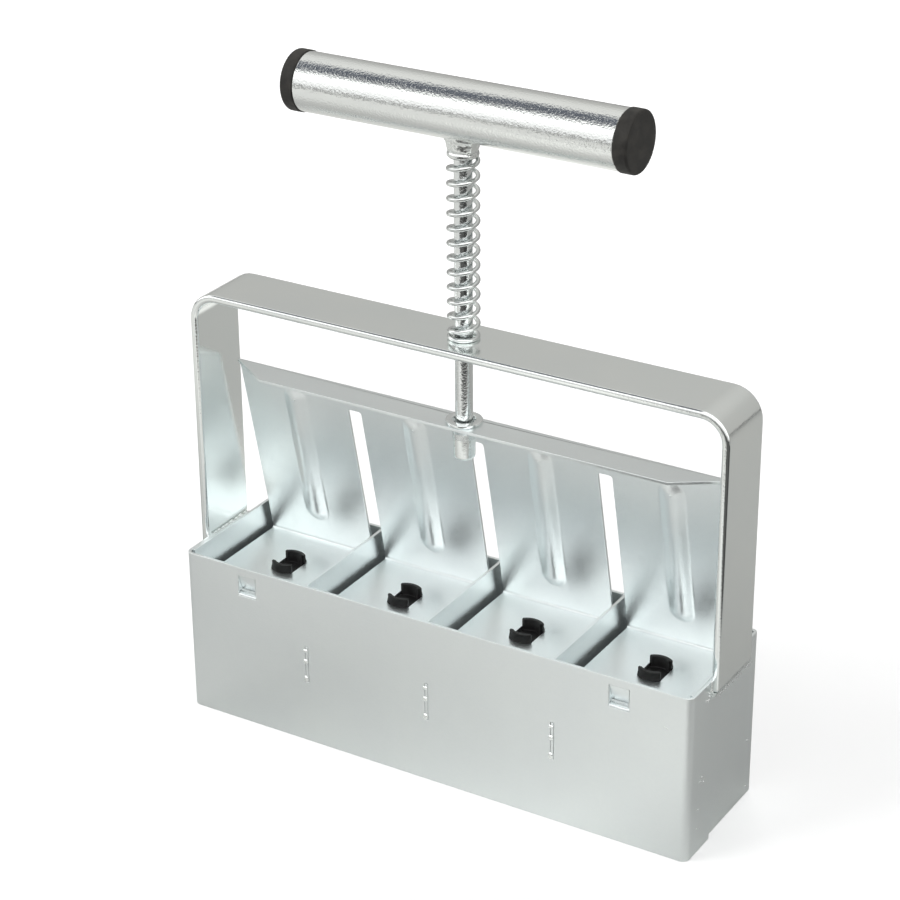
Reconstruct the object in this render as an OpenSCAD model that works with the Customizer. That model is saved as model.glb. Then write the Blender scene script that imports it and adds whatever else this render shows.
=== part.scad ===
// Soil blocker: a hand press that makes four cubes of potting soil at a time.
// X runs along the row of cells, Y from the front to the back, and Z up.
// The origin is on the ground, at the centre of the box.

/* [Box] */
// Clear width of one soil cell, left to right
cell_w = 50; // [44:1:60]
// Clear depth of one soil cell, front to back
cell_d = 52; // [46:1:60]
// Height of the box
box_h = 65; // [58:1:72]
// Thickness of the box's sheet
sheet = 1.2; // [0.8:0.1:1.6]
// Outer radius of the front panel's folded corners
front_corner_r = 3; // [2:0.5:5]
// Outer radius of the rear panel's folded corners
rear_corner_r = 2; // [1.8:0.1:4]
// Length of the front panel's end returns, from the front face
return_l = 17.5; // [12:0.5:22]
// Height of the staked tabs that hold the dividers
tab_h = 14.6; // [8:0.2:24]

/* [Lanced stops] */
// Width of each stop
stop_w = 7.6; // [5:0.2:12]
// Length of each stop, from its fold to its free edge
stop_l = 7.6; // [6:0.2:9]
// Distance from the rim to the fold of a stop
stop_drop = 3; // [2:0.5:5]
// Angle by which a stop leans into its cell, in degrees
stop_lean = 20; // [17:1:24]

/* [Bridge] */
// Width of the flat bar
bar_w = 26; // [20:1:32]
// Thickness of the flat bar
bar_t = 3; // [2:0.5:4]
// Height of the bridge's top face above the ground
bridge_top = 163.5; // [158:0.5:172]
// Outer radius of the bridge's two bends
bridge_bend_r = 11; // [8:0.5:16]
// Length by which the legs lap the box's ends
leg_lap = 4; // [3:0.5:8]
// Size of the weld bead under each leg
weld_leg = 3.4; // [2:0.2:4]

/* [Ejector] */
// Thickness of the ejector's sheet
ejector_t = 1.2; // [0.8:0.1:1.6]
// Inner radius of the ejector's folds
fold_r = 1.4; // [1:0.1:2]
// Height of the flange's top face above the press plates' top faces
ejector_h = 77.5; // [70:0.5:82]
// Width of the flange that shows in front of the washer and behind it
flange_margin = 0.2; // [0.1:0.1:1]
// Length of the mitre on each end of the flange
flange_mitre = 17.5; // [8:0.5:20]
// Gap between a press plate and each side of its cell
plate_gap = 2.2; // [1.5:0.1:3]
// Gap between a press plate and the front of the box
plate_front_gap = 1.2; // [0.8:0.1:1.4]
// Gap between the folded rear edge and the back of the box
plate_back_gap = 0.9; // [0.6:0.1:1.5]
// Distance from the flange's top face to the top of the slots between the fins
slot_drop = 11; // [9:0.5:15]
// Radius of the slots' upper corners
slot_r = 1.2; // [0.8:0.1:2.2]
// Width of the rib that is pressed into each fin
rib_w = 10.4; // [8:0.2:12]
// Height of a rib's crest above its fin
rib_h = 2; // [1.4:0.1:2.4]
// Distance from the flange's top face down to the upper end of a rib's crest
rib_drop = 11.6; // [10:0.2:16]
// Length of a rib's crest
rib_l = 52; // [40:1:54]

/* [Plunger] */
// Diameter of the rod
rod_d = 6.3; // [6:0.1:7]
// Distance that the plunger travels when it is pressed
press_travel = 43; // [30:1:44]
// Outer diameter of the washer on the flange
washer_d = 13.2; // [12:0.1:15]
// Bore of the washer
washer_bore = 8.2; // [7.6:0.1:9]
// Thickness of the washer
washer_t = 1.2; // [0.8:0.1:2]
// Outer diameter of the sleeve on the rod's lower end
sleeve_d = 8; // [7.8:0.1:9]
// Length of the sleeve below the flange
sleeve_l = 12.5; // [10:0.5:14]
// Radius of the sleeve's lower edge
sleeve_edge_r = 1.4; // [0.8:0.1:2]
// Diameter of the weld round the sleeve's top
sleeve_weld_d = 10.4; // [9.6:0.2:11]
// Height of the weld round the sleeve's top
sleeve_weld_h = 4.6; // [2:0.1:6]

/* [Handle] */
// Outer diameter of the handle tube
tube_d = 20.8; // [19:0.2:24]
// Wall of the handle tube
tube_wall = 1.5; // [1:0.1:2]
// Length of the handle tube without its caps
tube_l = 122; // [110:1:140]
// Diameter of the weld under the tube
handle_weld_d = 11.4; // [10:0.2:13]
// Diameter of the weld's lower end, where the spring bears
handle_weld_foot_d = 11; // [10:0.2:12]
// Height of the weld under the tube
handle_weld_h = 5.6; // [5:0.1:7]
// Length of an end cap's head
cap_l = 5; // [3:0.5:7]
// Height by which a cap stands proud of the tube
cap_proud = 0.3; // [0.2:0.1:0.6]
// Radius of a cap's outer edge
cap_edge_r = 1.6; // [0.8:0.1:2.2]
// Length of the rod's end inside the tube
rod_tail = 1.4; // [0.4:0.2:4]
// Length of the plug inside the tube
plug_l = 12; // [8:1:20]
// Wall of the plug
plug_wall = 1.8; // [1.2:0.1:2.4]

/* [Spring] */
// Thickness of the spring's wire
wire_d = 1.6; // [1.4:0.1:1.8]
// Mean diameter of the coil
coil_d = 10; // [9.6:0.1:10.4]
// Number of full turns
coil_turns = 11; // [8:1:12]
// Length that is left in the spring when the plunger is right down, beyond its closed length
spring_reserve = 1.7; // [1:0.1:4]

/* [Dibbers] */
// Length of the keyed hole in a press plate, front to back
key_l = 13.2; // [11:0.2:15]
// Width of the keyed hole, across its two flats
key_w = 8.8; // [8:0.2:10.4]
// Height of the snap prongs above the plate
prong_h = 3.2; // [2.6:0.1:6]
// Wall of the two prongs
prong_wall = 1.5; // [1:0.1:1.8]
// Width of the gap between the two prongs
prong_gap = 8; // [7:0.2:9]
// Height by which a prong's barb stands out over the plate
barb = 0.5; // [0.3:0.1:0.8]
// Diameter of the head under the plate
head_d = 16; // [15:0.2:18]
// Thickness of the head
head_t = 1.5; // [1:0.1:2]
// Diameter of the seed pin at its root
pin_root_d = 8; // [6:0.2:9]
// Diameter of the seed pin at its tip
pin_tip_d = 5; // [3:0.2:6]
// Length of the seed pin
pin_l = 6; // [4:0.2:6.4]

/* [Hidden] */
$fn = 64;
// Overrun of every cut past the face that it leaves through
over = 1;
// Gap round a piece that is fitted into another
fit_gap = 0.1;
// Gap between the rod and the hole in the bridge that guides it
guide_gap = 0.35;
// Gap between the rod and the hole in the flange
flange_hole_gap = 0.3;
// Gap between the press plates and the stops at rest
stop_gap = 0.6;
cell_count = 4;
fold_steps = 8;

pitch = cell_w + sheet;
rear_half_l = cell_count * pitch / 2 + sheet / 2;
front_half_l = rear_half_l + sheet;
half_d = cell_d / 2 + sheet;
divider_x = [for (i = [1:cell_count - 1]) (i - cell_count / 2) * pitch];
cell_x = [for (i = [0:cell_count - 1]) (i + 1 / 2 - cell_count / 2) * pitch];

// The end walls of the rear panel stop short of the front panel's inner corners
rear_end_y = -cell_d / 2 + front_corner_r - sheet;
return_end_y = -half_d + return_l;

stop_top = box_h - stop_drop;
stop_edge = stop_top - stop_l * cos(stop_lean);
plate_top = stop_edge - stop_gap;
plate_bottom = plate_top - ejector_t;
plate_front = -cell_d / 2 + plate_front_gap;
plate_back = cell_d / 2 - plate_back_gap;
flange_top = plate_top + ejector_h;
flange_under = flange_top - ejector_t;
flange_d = washer_d + 2 * flange_margin;
ejector_half_l = rear_half_l - sheet - plate_gap;
slot_w = sheet + 2 * plate_gap;

// The fins lean forward, from the folded rear edge up to the flange
lean = atan((plate_back - flange_d / 2) / (flange_top - plate_bottom));
fold_outer_r = fold_r + ejector_t;
top_fold_run = fold_outer_r * tan((90 - lean) / 2);
foot_fold_run = fold_outer_r * tan((90 + lean) / 2);
top_fold = [flange_d / 2 - top_fold_run, flange_top - fold_outer_r];
foot_fold = [plate_back - foot_fold_run, plate_bottom + fold_outer_r];
rib_top_z = flange_top - rib_drop;
rib_r = (rib_w * rib_w / 4 + rib_h * rib_h) / (2 * rib_h);

bar_under = bridge_top - bar_t;
leg_inner = front_half_l;
leg_outer = leg_inner + bar_t;
leg_foot = box_h - leg_lap;

// The spring is as long as the travel and its closed coils, which sets how high the handle stands
end_turns = 2;
spring_top = bridge_top + press_travel + (coil_turns + end_turns) * wire_d + spring_reserve;
tube_under = spring_top + handle_weld_h;
handle_z = tube_under + tube_d / 2;
sleeve_end = flange_under - sleeve_l;
sleeve_floor = sleeve_end + sleeve_edge_r;
rod_top = tube_under + tube_wall + rod_tail;

coil_r = coil_d / 2;
rings_per_turn = 8;
ring_sides = 6;
wire_bend_r = wire_d;
bend_steps = 3;
coil_bottom_z = bridge_top + wire_d + wire_bend_r;
coil_top_z = spring_top - wire_d - wire_bend_r;
coil_pitch = (coil_top_z - coil_bottom_z) / coil_turns;
coil_slope = atan(coil_pitch / (PI * coil_d));

zinc = [0.80, 0.83, 0.84];
weld_grey = [0.62, 0.64, 0.64];
black = [0.15, 0.15, 0.15];

// Points of an arc, from one angle to another
function arc(centre, r, from, to) =
    [for (i = [0:fold_steps]) let (a = from + (to - from) * i / fold_steps) centre + r * [cos(a), sin(a)]];

// Extrudes a YZ outline along X, centred
module along_x(l) {
    rotate([90, 0, 90])
        linear_extrude(l, center = true)
            children();
}

// Extrudes an XZ outline along Y, centred
module along_y(l) {
    rotate([90, 0, 0])
        linear_extrude(l, center = true)
            children();
}

// A folded corner in plan: a quarter of a ring in the quadrant of +X and +Y
module corner_plan(r) {
    intersection() {
        difference() {
            circle(r);
            circle(r - sheet);
        }
        square(r);
    }
}

// One half of a folded panel in plan: half a wall, its corner and its end, towards +X and +Y
module half_panel_plan(half_l, corner_r, end_l) {
    translate([0, corner_r - sheet])
        square([half_l - corner_r, sheet]);
    translate([half_l - corner_r, 0])
        corner_plan(corner_r);
    translate([half_l - sheet, -end_l])
        square([sheet, end_l]);
}

// A wall with two folded ends, standing on the ground; the wall's outer face is at Y = half_d
module folded_panel(half_l, corner_r, end_y) {
    for (side = [0, 1])
        mirror([side, 0, 0])
            linear_extrude(box_h)
                translate([0, half_d - corner_r])
                    half_panel_plan(half_l, corner_r, half_d - corner_r - end_y);
}

// Openings for the dividers' tabs, through a wall at Y = half_d
module tab_slots() {
    for (x = divider_x)
        translate([x - sheet / 2 - fit_gap, half_d - sheet - over, box_h / 2 - tab_h / 2 - fit_gap])
            cube([sheet + 2 * fit_gap, sheet + 2 * over, tab_h + 2 * fit_gap]);
}

module front_panel() {
    color(zinc) {
        difference() {
            mirror([0, 1, 0])
                difference() {
                    folded_panel(front_half_l, front_corner_r, -return_end_y);
                    tab_slots();
                }
            for (x = [cell_x[0], cell_x[cell_count - 1]])
                translate([x - stop_w / 2 - fit_gap, -half_d - over, stop_top - stop_l])
                    cube([stop_w + 2 * fit_gap, sheet + 2 * over, stop_l]);
        }
        for (x = [cell_x[0], cell_x[cell_count - 1]])
            lanced_stop(x);
    }
}

// A tongue cut from the front wall and folded into the cell about its upper edge
module lanced_stop(x) {
    difference() {
        translate([x - stop_w / 2, -half_d, stop_top])
            rotate([stop_lean, 0, 0])
                translate([0, 0, -stop_l])
                    cube([stop_w, sheet, stop_l + sheet / 2]);
        translate([x - stop_w, -half_d - sheet, stop_top - sheet])
            cube([2 * stop_w, sheet, 3 * sheet]);
    }
}

module rear_panel() {
    color(zinc)
        difference() {
            folded_panel(rear_half_l, rear_corner_r, rear_end_y);
            tab_slots();
        }
}

module divider(i) {
    color(zinc)
        translate([divider_x[i] - sheet / 2, 0, 0]) {
            translate([0, -cell_d / 2, 0])
                cube([sheet, cell_d, box_h]);
            translate([0, -half_d, box_h / 2 - tab_h / 2])
                cube([sheet, 2 * half_d, tab_h]);
        }
}

module bridge_outline() {
    top = arc([leg_outer - bridge_bend_r, bridge_top - bridge_bend_r], bridge_bend_r, 0, 90);
    under = arc([leg_outer - bridge_bend_r, bridge_top - bridge_bend_r], bridge_bend_r - bar_t, 90, 0);
    polygon(concat([[leg_outer, leg_foot]], top, [[0, bridge_top], [0, bar_under]], under,
        [[leg_inner, leg_foot]]));
}

module bridge() {
    color(zinc)
        difference() {
            for (side = [0, 1])
                mirror([side, 0, 0])
                    along_y(bar_w)
                        bridge_outline();
            translate([0, 0, bar_under - over])
                cylinder(d = rod_d + 2 * guide_gap, h = bar_t + 2 * over);
        }
}

// A fillet bead that joins a leg's foot to the return in front and to the end wall behind
module bridge_weld() {
    color(weld_grey) {
        bead(leg_inner, -bar_w / 2, return_end_y);
        bead(rear_half_l, return_end_y, bar_w / 2);
    }
}

// A quarter round bead in the corner between a wall and the leg's foot
module bead(wall_x, from_y, to_y) {
    r = rear_half_l + weld_leg - wall_x;
    translate([0, to_y, 0])
        rotate([90, 0, 0])
            linear_extrude(to_y - from_y)
                polygon(concat([[wall_x, leg_foot]], arc([wall_x, leg_foot], r, -90, 0)));
}

module bridge_weld_left() {
    mirror([1, 0, 0])
        bridge_weld();
}

module bridge_weld_right() {
    bridge_weld();
}

// The folded sheet seen from its end: flange, leaning fin and press plate in one strip
module ejector_outline() {
    polygon(concat(
        [[-flange_d / 2, flange_top]],
        arc(top_fold, fold_outer_r, 90, lean),
        arc(foot_fold, fold_outer_r, lean, -90),
        [[plate_front, plate_bottom], [plate_front, plate_top]],
        arc(foot_fold, fold_r, -90, lean),
        arc(top_fold, fold_r, lean, 90),
        [[-flange_d / 2, flange_under]]));
}

// The gap between two fins, which clears a divider as the sheet comes down
module fin_slot() {
    slot_top = flange_top - slot_drop;
    slot_foot = plate_bottom - over;
    along_y(2 * half_d) {
        translate([-slot_w / 2, slot_foot])
            square([slot_w, slot_top - slot_r - slot_foot]);
        translate([slot_r - slot_w / 2, slot_foot])
            square([slot_w - 2 * slot_r, slot_top - slot_foot]);
        for (side = [-1, 1])
            translate([side * (slot_w / 2 - slot_r), slot_top - slot_r])
                circle(slot_r);
    }
}

// Places a shape on the front face of the fin at x: Y runs up the fin from the upper end of the
// rib's crest, and Z out of its front face
module on_fin(x) {
    back_y = flange_d / 2 + (flange_top - rib_top_z) * tan(lean);
    translate([x, back_y - ejector_t / cos(lean), rib_top_z])
        rotate([90 + lean, 0, 0])
            children();
}

// A round-ended bar that lies in the fin so that its front stands out as the rib; what lies
// behind from_z is cut away
module rib_bar(r, from_z) {
    intersection() {
        translate([0, 0, rib_h - rib_r]) {
            sphere(r);
            rotate([90, 0, 0])
                cylinder(r = r, h = rib_l);
            translate([0, -rib_l, 0])
                sphere(r);
        }
        translate([-rib_w, -rib_l - rib_w, from_z])
            cube([2 * rib_w, rib_l + 2 * rib_w, rib_r]);
    }
}

module ejector() {
    color(zinc)
        difference() {
            union() {
                along_x(2 * ejector_half_l)
                    ejector_outline();
                for (x = cell_x)
                    on_fin(x)
                        rib_bar(rib_r, -ejector_t / 2);
            }
            for (x = cell_x)
                on_fin(x)
                    rib_bar(rib_r - ejector_t, -ejector_t - over);
            for (x = divider_x)
                translate([x, 0, 0])
                    fin_slot();
            for (x = cell_x)
                translate([x, 0, 0])
                    key_shape(0, plate_bottom - over, plate_top + over);
            for (side = [0, 1])
                mirror([side, 0, 0])
                    flange_mitre_cut();
            translate([0, 0, flange_under - over])
                cylinder(d = rod_d + 2 * flange_hole_gap, h = ejector_t + 2 * over);
        }
}

module flange_mitre_cut() {
    run = flange_d / 2 + top_fold[0];
    slope = flange_mitre / run;
    translate([0, 0, flange_under - over])
        linear_extrude(ejector_t + 2 * over)
            polygon([[ejector_half_l, top_fold[0]], [ejector_half_l + over, top_fold[0]],
                [ejector_half_l + over, -flange_d / 2 - over],
                [ejector_half_l - flange_mitre - over * slope, -flange_d / 2 - over]]);
}

// A round bar with two flats, as the keyed holes and the dibbers' necks have
module key_shape(gap, from_z, to_z) {
    translate([0, 0, from_z])
        intersection() {
            cylinder(d = key_l - 2 * gap, h = to_z - from_z);
            translate([-key_w / 2 + gap, -key_l, 0])
                cube([key_w - 2 * gap, 2 * key_l, to_z - from_z]);
        }
}

// A moulded dibber: head and seed pin under the plate, keyed neck, and two snap prongs above
module dibber(i) {
    color(black)
        translate([cell_x[i], 0, 0]) {
            translate([0, 0, plate_bottom - head_t])
                cylinder(d = head_d, h = head_t);
            translate([0, 0, plate_bottom - head_t - pin_l])
                cylinder(d1 = pin_tip_d, d2 = pin_root_d, h = pin_l);
            difference() {
                union() {
                    key_shape(fit_gap, plate_bottom, plate_top + prong_h);
                    barbs();
                }
                translate([0, 0, plate_bottom]) {
                    cylinder(d = key_l - 2 * prong_wall, h = ejector_t + prong_h + over);
                    translate([-key_w / 2 - over, -prong_gap / 2, 0])
                        cube([key_w + 2 * over, prong_gap, ejector_t + prong_h + over]);
                }
            }
        }
}

// The lips that snap out over the plate's upper face, in front and behind
module barbs() {
    intersection() {
        translate([0, 0, plate_top])
            cylinder(d1 = key_l + 2 * barb, d2 = key_l - 2 * barb, h = prong_h);
        translate([-key_w / 2 + fit_gap, -key_l, plate_top])
            cube([key_w - 2 * fit_gap, 2 * key_l, prong_h]);
    }
}

module plunger_rod() {
    color(zinc)
        translate([0, 0, sleeve_floor])
            cylinder(d = rod_d, h = rod_top - sleeve_floor);
}

module rod_washer() {
    color(zinc)
        translate([0, 0, flange_top])
            difference() {
                cylinder(d = washer_d, h = washer_t);
                translate([0, 0, -over])
                    cylinder(d = washer_bore, h = washer_t + 2 * over);
            }
}

// A sleeve with a closed, rounded end, over the rod's end and under the flange
module rod_sleeve() {
    color(zinc)
        difference() {
            rotate_extrude()
                polygon(concat([[0, sleeve_end]],
                    arc([sleeve_d / 2 - sleeve_edge_r, sleeve_end + sleeve_edge_r], sleeve_edge_r, -90, 0),
                    [[sleeve_d / 2, flange_under], [0, flange_under]]));
            translate([0, 0, sleeve_floor])
                cylinder(d = rod_d + 2 * fit_gap, h = sleeve_l + over);
        }
}

module sleeve_weld() {
    color(weld_grey)
        difference() {
            translate([0, 0, flange_under - sleeve_weld_h])
                cylinder(d1 = sleeve_d + fit_gap, d2 = sleeve_weld_d, h = sleeve_weld_h);
            translate([0, 0, flange_under - sleeve_l])
                cylinder(d = sleeve_d, h = sleeve_l + over);
            along_x(2 * sleeve_weld_d)
                ejector_outline();
        }
}

module handle_tube() {
    color(zinc)
        difference() {
            translate([0, 0, handle_z])
                along_x(tube_l)
                    difference() {
                        circle(d = tube_d);
                        circle(d = tube_d - 2 * tube_wall);
                    }
            translate([0, 0, tube_under - over])
                cylinder(d = rod_d + 2 * fit_gap, h = tube_d / 2);
        }
}

// The weld fills the corner between the rod and the tube's underside
module handle_weld() {
    color(weld_grey)
        difference() {
            translate([0, 0, spring_top])
                cylinder(d1 = handle_weld_foot_d, d2 = handle_weld_d, h = tube_d / 2);
            translate([0, 0, handle_z])
                along_x(tube_l)
                    circle(d = tube_d);
            translate([0, 0, spring_top - over])
                cylinder(d = rod_d, h = tube_d);
        }
}

module end_cap(side) {
    head_r = tube_d / 2 + cap_proud;
    plug_r = tube_d / 2 - tube_wall - fit_gap;
    color(black)
        translate([side * tube_l / 2, 0, handle_z])
            rotate([0, side * 90, 0])
                rotate_extrude()
                    polygon(concat([[0, 0], [plug_r - plug_wall, 0], [plug_r - plug_wall, -plug_l],
                        [plug_r, -plug_l], [plug_r, 0], [head_r, 0]],
                        arc([head_r - cap_edge_r, cap_l - cap_edge_r], cap_edge_r, 0, 90),
                        [[0, cap_l]]));
}

module end_cap_left() {
    end_cap(-1);
}

module end_cap_right() {
    end_cap(1);
}

// Each ring of the wire: its angle round the coil, its height, and the steepness of its run.
// The ends turn down and up out of the coil and run straight to the faces that they meet.
foot_bend = [for (i = [0:bend_steps - 1]) let (d = 90 - i * (90 - coil_slope) / bend_steps)
    [-wire_bend_r * sin(d) / coil_r * 180 / PI, coil_bottom_z - wire_bend_r * (1 - cos(d)), d]];
head_bend = [for (i = [bend_steps - 1:-1:0]) let (d = 90 - i * (90 - coil_slope) / bend_steps)
    [coil_turns * 360 + wire_bend_r * sin(d) / coil_r * 180 / PI, coil_top_z + wire_bend_r * (1 - cos(d)), d]];
coil = [for (i = [0:coil_turns * rings_per_turn])
    [i * 360 / rings_per_turn, coil_bottom_z + coil_pitch * i / rings_per_turn, coil_slope]];
wire_rings = concat([[foot_bend[0][0], bridge_top, 90]], foot_bend, coil, head_bend,
    [[head_bend[bend_steps - 1][0], spring_top, 90]]);

function ring_centre(ring) = [coil_r * cos(ring[0]), coil_r * sin(ring[0]), ring[1]];

function ring_points(ring) =
    let (out = [cos(ring[0]), sin(ring[0]), 0],
        run = [-sin(ring[0]) * cos(ring[2]), cos(ring[0]) * cos(ring[2]), sin(ring[2])],
        side = cross(run, out))
    [for (j = [0:ring_sides - 1]) let (a = j * 360 / ring_sides)
        ring_centre(ring) + wire_d / 2 * (cos(a) * out + sin(a) * side)];

// Least gap between stretches of the wire that are half a turn or more apart
wire_gap = min([for (a = wire_rings) for (b = wire_rings)
    if (b[0] - a[0] >= 180) norm(ring_centre(a) - ring_centre(b))]) - wire_d;

module return_spring() {
    last = len(wire_rings) - 1;
    points = [for (ring = wire_rings) for (p = ring_points(ring)) p];
    sides = [for (k = [0:last - 1]) for (j = [0:ring_sides - 1])
        let (a = k * ring_sides + j, b = k * ring_sides + (j + 1) % ring_sides)
        for (face = [[a, a + ring_sides, b], [b, a + ring_sides, b + ring_sides]]) face];
    foot = [for (j = [1:ring_sides - 2]) [0, j, j + 1]];
    head = [for (j = [1:ring_sides - 2])
        [last * ring_sides, last * ring_sides + j + 1, last * ring_sides + j]];
    color(zinc)
        polyhedron(points, concat(sides, foot, head));
}

echo(spring_least_gap_mm = wire_gap);

front_panel();
rear_panel();
divider(0);  // divider_1
divider(1);  // divider_2
divider(2);  // divider_3
bridge();
bridge_weld_left();
bridge_weld_right();
ejector();
plunger_rod();
rod_washer();
rod_sleeve();
sleeve_weld();
handle_tube();
handle_weld();
end_cap_left();
end_cap_right();
return_spring();
dibber(0);  // dibber_1
dibber(1);  // dibber_2
dibber(2);  // dibber_3
dibber(3);  // dibber_4
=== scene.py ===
# %% [markdown]
# # A hand soil blocker in bright zinc
# The real tool is a row of four open cells in thin zinc-plated sheet. A folded ejector on a sprung
# rod presses the soil blocks out. The CAD model gives every piece its place, so this lesson only
# makes what CAD leaves plain: folded sheet with soft cut edges, weld beads, a round wire spring,
# and the look of zinc plate and moulded plastic.

# %% Load the frame
import math
import random
import bmesh
import bpy
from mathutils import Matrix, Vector, geometry, noise


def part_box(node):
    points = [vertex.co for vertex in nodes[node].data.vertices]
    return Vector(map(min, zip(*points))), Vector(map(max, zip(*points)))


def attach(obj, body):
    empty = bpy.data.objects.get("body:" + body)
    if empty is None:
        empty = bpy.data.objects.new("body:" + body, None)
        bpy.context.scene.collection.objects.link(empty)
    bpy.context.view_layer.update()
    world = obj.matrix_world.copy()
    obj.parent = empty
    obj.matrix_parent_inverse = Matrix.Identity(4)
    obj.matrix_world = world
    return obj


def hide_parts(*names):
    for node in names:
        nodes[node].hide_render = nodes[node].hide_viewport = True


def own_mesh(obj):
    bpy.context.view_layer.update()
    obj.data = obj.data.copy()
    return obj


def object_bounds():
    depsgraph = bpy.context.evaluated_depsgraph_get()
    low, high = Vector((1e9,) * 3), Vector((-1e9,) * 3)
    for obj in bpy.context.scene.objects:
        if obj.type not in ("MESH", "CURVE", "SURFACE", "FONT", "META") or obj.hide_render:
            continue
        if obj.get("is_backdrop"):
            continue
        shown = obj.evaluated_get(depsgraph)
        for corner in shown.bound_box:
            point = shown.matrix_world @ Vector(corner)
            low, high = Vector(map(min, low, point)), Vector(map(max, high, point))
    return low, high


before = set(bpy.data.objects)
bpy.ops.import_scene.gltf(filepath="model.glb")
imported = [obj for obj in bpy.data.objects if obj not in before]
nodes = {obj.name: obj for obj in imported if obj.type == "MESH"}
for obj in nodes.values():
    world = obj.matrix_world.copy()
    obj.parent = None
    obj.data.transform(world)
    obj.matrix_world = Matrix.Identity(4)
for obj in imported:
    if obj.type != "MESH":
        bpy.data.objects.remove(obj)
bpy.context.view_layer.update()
MM = 0.001

# %% [markdown]
# ## The camera
# The photograph looks down on the tool from its right-hand front corner, through a long lens. Its
# place was worked out from the corners of the box, so the render and the photograph can be laid
# over each other. A long lens keeps the uprights nearly parallel.

# %% Set the camera
CAMERA_PLACE = (0.41939, -0.69876, 0.51362)
CAMERA_TILT = 64.266
CAMERA_ROLL = 0.372
CAMERA_TURN = 31.144
LENS = 103.54
SENSOR = 36.0
scene = bpy.context.scene
camera = bpy.data.objects.new("camera", bpy.data.cameras.new("camera"))
scene.collection.objects.link(camera)
camera.location = CAMERA_PLACE
camera.rotation_euler = [math.radians(a) for a in (CAMERA_TILT, CAMERA_ROLL, CAMERA_TURN)]
camera.data.sensor_width = SENSOR
camera.data.lens = LENS
camera.data.dof.use_dof = False
scene.camera = camera
scene.view_settings.view_transform = "Standard"
print("camera", round(camera.location.length, 3), "m from the origin")

# %% [markdown]
# ## Colours and a bare material
# A finish could be painted on an unwrapped mesh or taken from pictures. Every finish here is worked
# out by nodes from a point's own place on the object instead, which needs neither. Colours are
# written as a screen shows them and turned into the linear values that Blender works with.

# %% Colour helpers
def tone(red, green, blue):
    """A colour as a screen shows it, from 0 to 255, in the linear values that Blender wants."""
    def linear(c):
        c = c / 255
        return c / 12.92 if c <= 0.04045 else ((c + 0.055) / 1.055) ** 2.4
    return (linear(red), linear(green), linear(blue), 1)


def new_material(name):
    material = bpy.data.materials.new(name)
    material.use_nodes = True
    tree = material.node_tree
    place = tree.nodes.new("ShaderNodeTexCoord")
    return material, tree, tree.nodes["Principled BSDF"], place.outputs["Object"]


print("screen grey 128 is", round(tone(128, 128, 128)[0], 3), "in linear light")

# %% [markdown]
# ## Patterns
# Plated metal and moulded plastic both vary over their surface. Noise with a high scale gives grain,
# and noise that is squeezed along one axis gives the streaks of rolled or drawn metal. Raw noise
# stays close to its middle value, so a range node stretches the part that matters.

# %% Pattern helpers
def grain(tree, place, scale, detail=3.0, squeeze=(1, 1, 1)):
    """Noise of a given scale; a squeeze under 1 along an axis draws it out along that axis."""
    mapping = tree.nodes.new("ShaderNodeMapping")
    mapping.inputs["Scale"].default_value = squeeze
    tree.links.new(place, mapping.inputs["Vector"])
    texture = tree.nodes.new("ShaderNodeTexNoise")
    texture.inputs["Scale"].default_value = scale
    texture.inputs["Detail"].default_value = detail
    tree.links.new(mapping.outputs["Vector"], texture.inputs["Vector"])
    return texture.outputs["Fac"]


def spread(tree, factor, low, high, new_low=0.0, new_high=1.0):
    """Stretches a factor from low..high to new_low..new_high, held at both ends."""
    node = tree.nodes.new("ShaderNodeMapRange")
    for socket, value in zip(("From Min", "From Max", "To Min", "To Max"), (low, high, new_low, new_high)):
        node.inputs[socket].default_value = value
    tree.links.new(factor, node.inputs["Value"])
    return node.outputs["Result"]


def blend_colour(tree, factor, one, two):
    """Mixes two colours, or a socket and a colour, by a factor."""
    node = tree.nodes.new("ShaderNodeMix")
    node.data_type = "RGBA"
    tree.links.new(factor, node.inputs["Factor"])
    for socket, value in ((node.inputs[6], one), (node.inputs[7], two)):
        if isinstance(value, tuple):
            socket.default_value = value
        else:
            tree.links.new(value, socket)
    return node.outputs[2]


print("pattern helpers ready")

# %% [markdown]
# ## Relief and arithmetic
# Grain this fine could be real displacement, but that would take millions of faces. A bump node
# tilts the shading and leaves the mesh alone. The Math node does one step of arithmetic at a time,
# so a short helper keeps a chain of such steps readable.

# %% Relief and arithmetic
def bump(tree, shader, height, distance, strength=1.0):
    node = tree.nodes.new("ShaderNodeBump")
    node.inputs["Distance"].default_value = distance
    node.inputs["Strength"].default_value = strength
    tree.links.new(height, node.inputs["Height"])
    tree.links.new(node.outputs["Normal"], shader.inputs["Normal"])


def maths(tree, operation, one, two=None):
    """One step of arithmetic on a socket; the second value is a socket, a number or nothing."""
    node = tree.nodes.new("ShaderNodeMath")
    node.operation = operation
    tree.links.new(one, node.inputs[0])
    if isinstance(two, float):
        node.inputs[1].default_value = two
    elif two is not None:
        tree.links.new(two, node.inputs[1])
    return node.outputs[0]


def times(tree, one, two):
    return maths(tree, "MULTIPLY", one, two)


print("relief and arithmetic ready")

# %% [markdown]
# ## Zinc plate
# The real sheet is bright zinc plate: a soft mirror with a faint blue cast and a fine orange-peel
# grain. The grain matters most. It is too small to see as a shape, but it breaks every dark
# reflection into speckle, so it is made as a very shallow bump with grains about 0.7 mm wide. Slow
# clouds of noise move the colour a little and a finer noise moves the roughness, as plating and
# handling do. Sheet, bar, rod, tube and wire each have their own tones, roughness and depth of
# grain, because they were rolled or drawn in different ways before they were plated.

# %% Zinc materials
CLOUD_SCALE = 30.0
CLOUD_RANGE = (0.3, 0.7)
RUB_SCALE = 700.0
RUB_RANGE = (0.4, 0.66)
GRAIN_SCALE = 1450.0
ROUND_GRAIN_SCALE = 1400.0


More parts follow.
